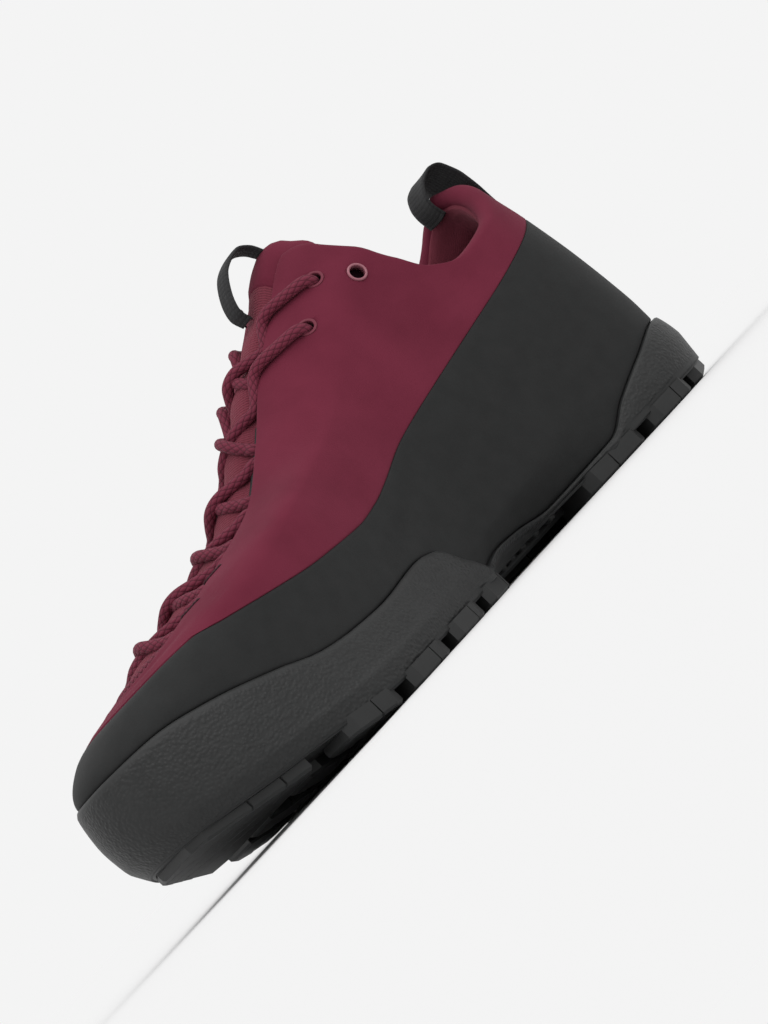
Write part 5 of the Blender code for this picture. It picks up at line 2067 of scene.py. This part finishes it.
@dataclass
class Lace:
    """The braided lace: a bar at the foot, six crossings and its ends in the middle holes."""

    last: Last
    diameter: float = 3.9 * MM
    # in mm over the last: the cord on the ridge, how far its sides drop, and its hop over another
    ridge: float = 0.5
    drop: float = 2.6
    hop: float = 2.3
    bend: float = 1.1
    rows: tuple[tuple[float, float], ...] = (
        (0.415, 0.100),
        (0.480, 0.105),
        (0.550, 0.108),
        (0.622, 0.108),
        (0.700, 0.106),
        (0.790, 0.125),
        (0.875, 0.135),
    )
    gap: float = 0.011
    loop: tuple[tuple[float, float, float], ...] = (
        (-0.95, 0.016, -2.2),
        (-0.75, 0.004, -3.8),
        (-0.40, -0.010, -4.7),
        (0.0, -0.018, -5.2),
        (0.40, -0.010, -4.7),
        (0.75, 0.004, -3.8),
        (0.95, 0.016, -2.2),
    )
    holes: tuple[tuple[float, float], ...] = ((0.808, 0.272), (0.888, 0.280))

    def edge(self, level: float) -> float:
        """The turn of the throat's edge at a level."""
        turns = {lev: turn for turn, lev in TOP_LINE[2:8]}
        return float(np.interp(level, list(turns), list(turns.values())))

    def under(self, row: int, side: int) -> list[tuple[float, float, float]]:
        """Places (level, turn, out in mm) of the loop under the throat's edge at a row.

        Args:
            row: the row's number.
            side: 1 on the inner side, -1 on the outer.

        Returns:
            the places in their order along the lace.
        """
        level, edge = self.rows[row][0], self.edge(self.rows[row][0])
        places = []
        for step, inside, out in self.loop:
            places.append((level + step * self.gap, side * (edge - inside), out))
        return places

    def crossing(self, row: int, side: int, over: bool) -> list[tuple[float, float, float]]:
        """Places of the strand from this row's side to the next row's other side.

        Args:
            row: number of the row that it leaves.
            side: the side that it leaves.
            over: whether it passes over the other strand.

        Returns:
            the places in their order along the lace.
        """
        (low, near), (high, far) = self.rows[row], self.rows[row + 1]
        start, end = low + self.gap, high - self.gap
        places = []
        for share in (0.12, 0.26, 0.40, 0.5, 0.60, 0.74, 0.88):
            beside = 1 - 2 * share
            reach = near if share < 0.5 else far
            turn = side * reach * math.copysign(abs(beside) ** self.bend, beside)
            middle = math.sin(math.pi * share)
            lift = self.ridge - self.drop * float(smooth(abs(turn), 0.02, 0.10))
            lift += self.hop * middle ** 4 if over else 0.0
            places.append((start + (end - start) * share, turn, lift))
        return places

    def dive(self, hole: tuple[float, float], side: int) -> list[tuple[float, float, float]]:
        """Places of the strand from the throat's edge over the upper into a hole.

        Args:
            hole: the hole's level and turn.
            side: 1 on the inner side, -1 on the outer.

        Returns:
            the places in their order along the lace.
        """
        level, turn = hole
        return [
            (level - 0.004, side * 0.112, 1.2),
            (level + 0.001, side * 0.135, 2.1),
            (level + 0.002, side * 0.20, 2.0),
            (level, side * (turn - 0.020), 1.8),
            (level, side * (turn - 0.005), -0.4),
            (level, side * turn, -4.0),
        ]

    def half(self, side: int) -> list[tuple[float, float, float]]:
        """Places of one half of the lace, from the foot to its end.

        Args:
            side: the side that it starts on.

        Returns:
            the places in their order along the lace.
        """
        places = self.under(0, side)
        for row in range(5):
            places += self.crossing(row, side, side * (-1) ** row > 0)
            side = -side
            if row < 4:
                places += self.under(row + 1, side)
        low, middle = self.holes
        places += self.dive(low, side)
        places += [
            (low[0] + 0.004, side * (low[1] - 0.04), -5.6),
            (0.806, side * 0.16, -5.4),
            (0.803, side * 0.122, -4.4),
            (0.803, side * 0.104, -1.4),
        ]
        places += self.crossing(5, side, side < 0)
        places += self.dive(middle, -side)
        return [*places, (middle[0], -side * (middle[1] + 0.01), -6.5)]

    def build(self) -> bpy.types.Object:
        """The lace as one cord."""
        one, other = self.half(1), self.half(-1)
        places = np.array(other[::-1] + one)
        points = self.last.off(places[:, 0], places[:, 1], places[:, 2] * MM)
        path = through(points, 0.75 * MM)
        made = Make.sweep("shoe_lace", path, self.diameter / 2, 14, CORD)
        return Make.done(made, "burgundy cord", *(f"lace_crossing_{k}" for k in range(1, 7)))


@dataclass
class Eyelet:
    """A ring eyelet: a rounded flange over the upper and a barrel through it."""

    last: Last
    name: str
    level: float
    turn: float
    flange: float
    finish: Finish
    outer: float = 3.35 * MM
    bore: float = 2.45 * MM
    barrel: float = 2.7 * MM
    sides: int = 40

    @property
    def frame(self) -> Matrix:
        """The eyelet's frame, with its Z axis outwards."""
        normal = Vector(self.last.normal(self.level, self.turn))
        made = normal.to_track_quat("Z", "Y").to_matrix().to_4x4()
        made.translation = Vector(self.last.point(self.level, self.turn))
        return made

    def build(self) -> bpy.types.Object:
        """The ring."""
        middle, half = (self.outer + self.bore) / 2, (self.outer - self.bore) / 2
        profile = [(self.bore, -UPPER_WALL)]
        for angle in np.linspace(math.pi, 0, 11):
            height = 0.1 * MM + self.flange * math.sin(angle)
            profile.append((middle + half * math.cos(angle), height))
        profile += [(self.outer, -0.2 * MM), (self.barrel, -0.2 * MM), (self.barrel, -UPPER_WALL)]
        frame = np.array(self.frame)
        angle = np.linspace(0, 2 * np.pi, self.sides, endpoint=False)
        radius, height = np.array(profile).T
        local = np.stack(
            [
                radius[:, None] * np.cos(angle),
                radius[:, None] * np.sin(angle),
                height[:, None] + 0 * angle,
                np.ones((len(profile), self.sides)),
            ],
            -1,
        )
        made = Make.grid(f"shoe_{self.name}", (local @ frame.T)[..., :3], self.finish)
        return Make.done(made, "painted metal", self.name)


@dataclass
class Studio:
    """The pale floor, the soft lights and the camera."""

    azimuth: float = 143.5
    elevation: float = -1.8
    roll: float = 46.9
    distance: float = 1.2
    target_height: float = 0.05
    lens: float = 136.5
    shift: tuple[float, float] = (0.0408, 0.0161)
    backdrop: float = 0.93
    strength: float = 0.973
    floor_half: float = 40.0
    # width in degrees and power
    key: tuple[float, float] = (60.0, 0.92)
    fill: tuple[float, float] = (70.0, 0.35)

    def axes(self) -> tuple[Vector, Vector, Vector]:
        """The camera's right, up and back before the roll."""
        a, e = math.radians(self.azimuth), math.radians(self.elevation)
        back = Vector((math.sin(a) * math.cos(e), -math.cos(a) * math.cos(e), math.sin(e)))
        right = Vector((math.cos(a), math.sin(a), 0.0))
        return right, back.cross(right), back

    def camera(self) -> None:
        """Places the camera, rolled as the photograph is."""
        right, up, back = self.axes()
        r = math.radians(self.roll)
        x, y = right * math.cos(r) - up * math.sin(r), right * math.sin(r) + up * math.cos(r)
        data = bpy.data.cameras.new("camera")
        data.lens, data.sensor_width = self.lens, 36.0
        data.shift_x, data.shift_y = self.shift
        data.clip_end = 50.0
        made = link("camera", data)
        matrix = Matrix((x, y, back)).transposed().to_4x4()
        matrix.translation = Vector((0, 0, self.target_height)) + back * self.distance
        made.matrix_world = matrix
        bpy.context.scene.camera = made

    def light(self, name: str, source: Vector, spread: float, power: float) -> None:
        """A far soft light that shines from a direction, this many degrees wide.

        Args:
            name: the light's name.
            source: direction towards the light.
            spread: its width in degrees.
            power: its strength.
        """
        data = bpy.data.lights.new(name, "SUN")
        data.angle, data.energy = math.radians(spread), power
        made = link(name, data)
        made.location = source.normalized() * 2
        made.rotation_euler = source.to_track_quat("Z", "Y").to_euler()

    def build(self) -> None:
        """The studio."""
        size = self.floor_half
        corners = [(-size, -size, 0), (size, -size, 0), (size, size, 0), (-size, size, 0)]
        data = bpy.data.meshes.new("floor")
        data.from_pydata(corners, [], [(0, 1, 2, 3)])
        data.materials.append(Make.material(FLOOR))
        floor = link("floor", data)
        self.camera()
        right, up, back = self.axes()
        top = right * math.sin(math.radians(self.roll)) + up * math.cos(math.radians(self.roll))
        over = Vector((0, 0, 1.0))
        self.light("key", over * 1.5 + top * 0.45 + back * 0.6, *self.key)
        self.light("fill", back * 1.0 + right * 0.7 + over * 0.6, *self.fill)
        world = bpy.data.worlds.new("studio")
        world.use_nodes = True
        shade = world.node_tree.nodes["Background"]
        shade.inputs["Color"].default_value = (self.backdrop, self.backdrop, self.backdrop, 1)
        shade.inputs["Strength"].default_value = self.strength
        bpy.context.scene.world = world
        bpy.context.scene.view_settings.view_transform = "Standard"


# (level, thicknesses of webbing clear of what it is sewn to) along each loop
HEEL_ROWS = (
    (0.650, 0.0), (0.740, 0.8), (0.840, 2.2), (0.930, 3.6), (1.000, 4.2),
    (1.046, 2.6), (1.060, -0.8), (1.040, -4.4), (0.985, -6.9), (0.920, -7.8),
)
TONGUE_ROWS = (
    (0.915, 0.0), (0.918, 2.6), (0.935, 5.6), (0.965, 7.4),
    (0.997, 6.0), (1.018, 2.8), (1.024, 0.0),
)


def main() -> None:
    """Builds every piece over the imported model."""
    logging.basicConfig(level=logging.INFO, format="%(message)s")
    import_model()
    last = Last()
    columns = Columns(last, 130)
    eyelets = []
    for name, level, turn, flange, finish in (
        ("low", 0.808, 0.272, 0.14 * MM, PRESSED),
        ("middle", 0.888, 0.280, 0.14 * MM, PRESSED),
        ("top", 0.828, 0.408, 0.55 * MM, METAL),
    ):
        for side_name, side in (("inner", 1), ("outer", -1)):
            full_name = f"eyelet_{name}_{side_name}"
            eyelets.append(Eyelet(last, full_name, level, side * turn, flange, finish))
    holes = [eyelet.frame for eyelet in eyelets]
    Upper(last, columns).build(holes)
    Lining(columns).build(holes)
    Rand(last, columns).build()
    Outsole(last, columns).build()
    ArchInlay(last).build()
    Insole(last, columns).build()
    Tongue(last).build()
    CollarPadding(last, columns).build()
    stitching = Stitching()
    BarTacks(last).build(stitching)
    PullLoop(last, End.HEEL, 1.0, 0.080, HEEL_ROWS).build(stitching)
    PullLoop(last, End.TONGUE, 0.0, 0.035, TONGUE_ROWS).build(stitching)
    for side in (1, -1):
        Keeper(last, side).build()
    Lace(last).build()
    for eyelet in eyelets:
        eyelet.build()
    Studio().build()


if __name__ == "__main__":
    main()
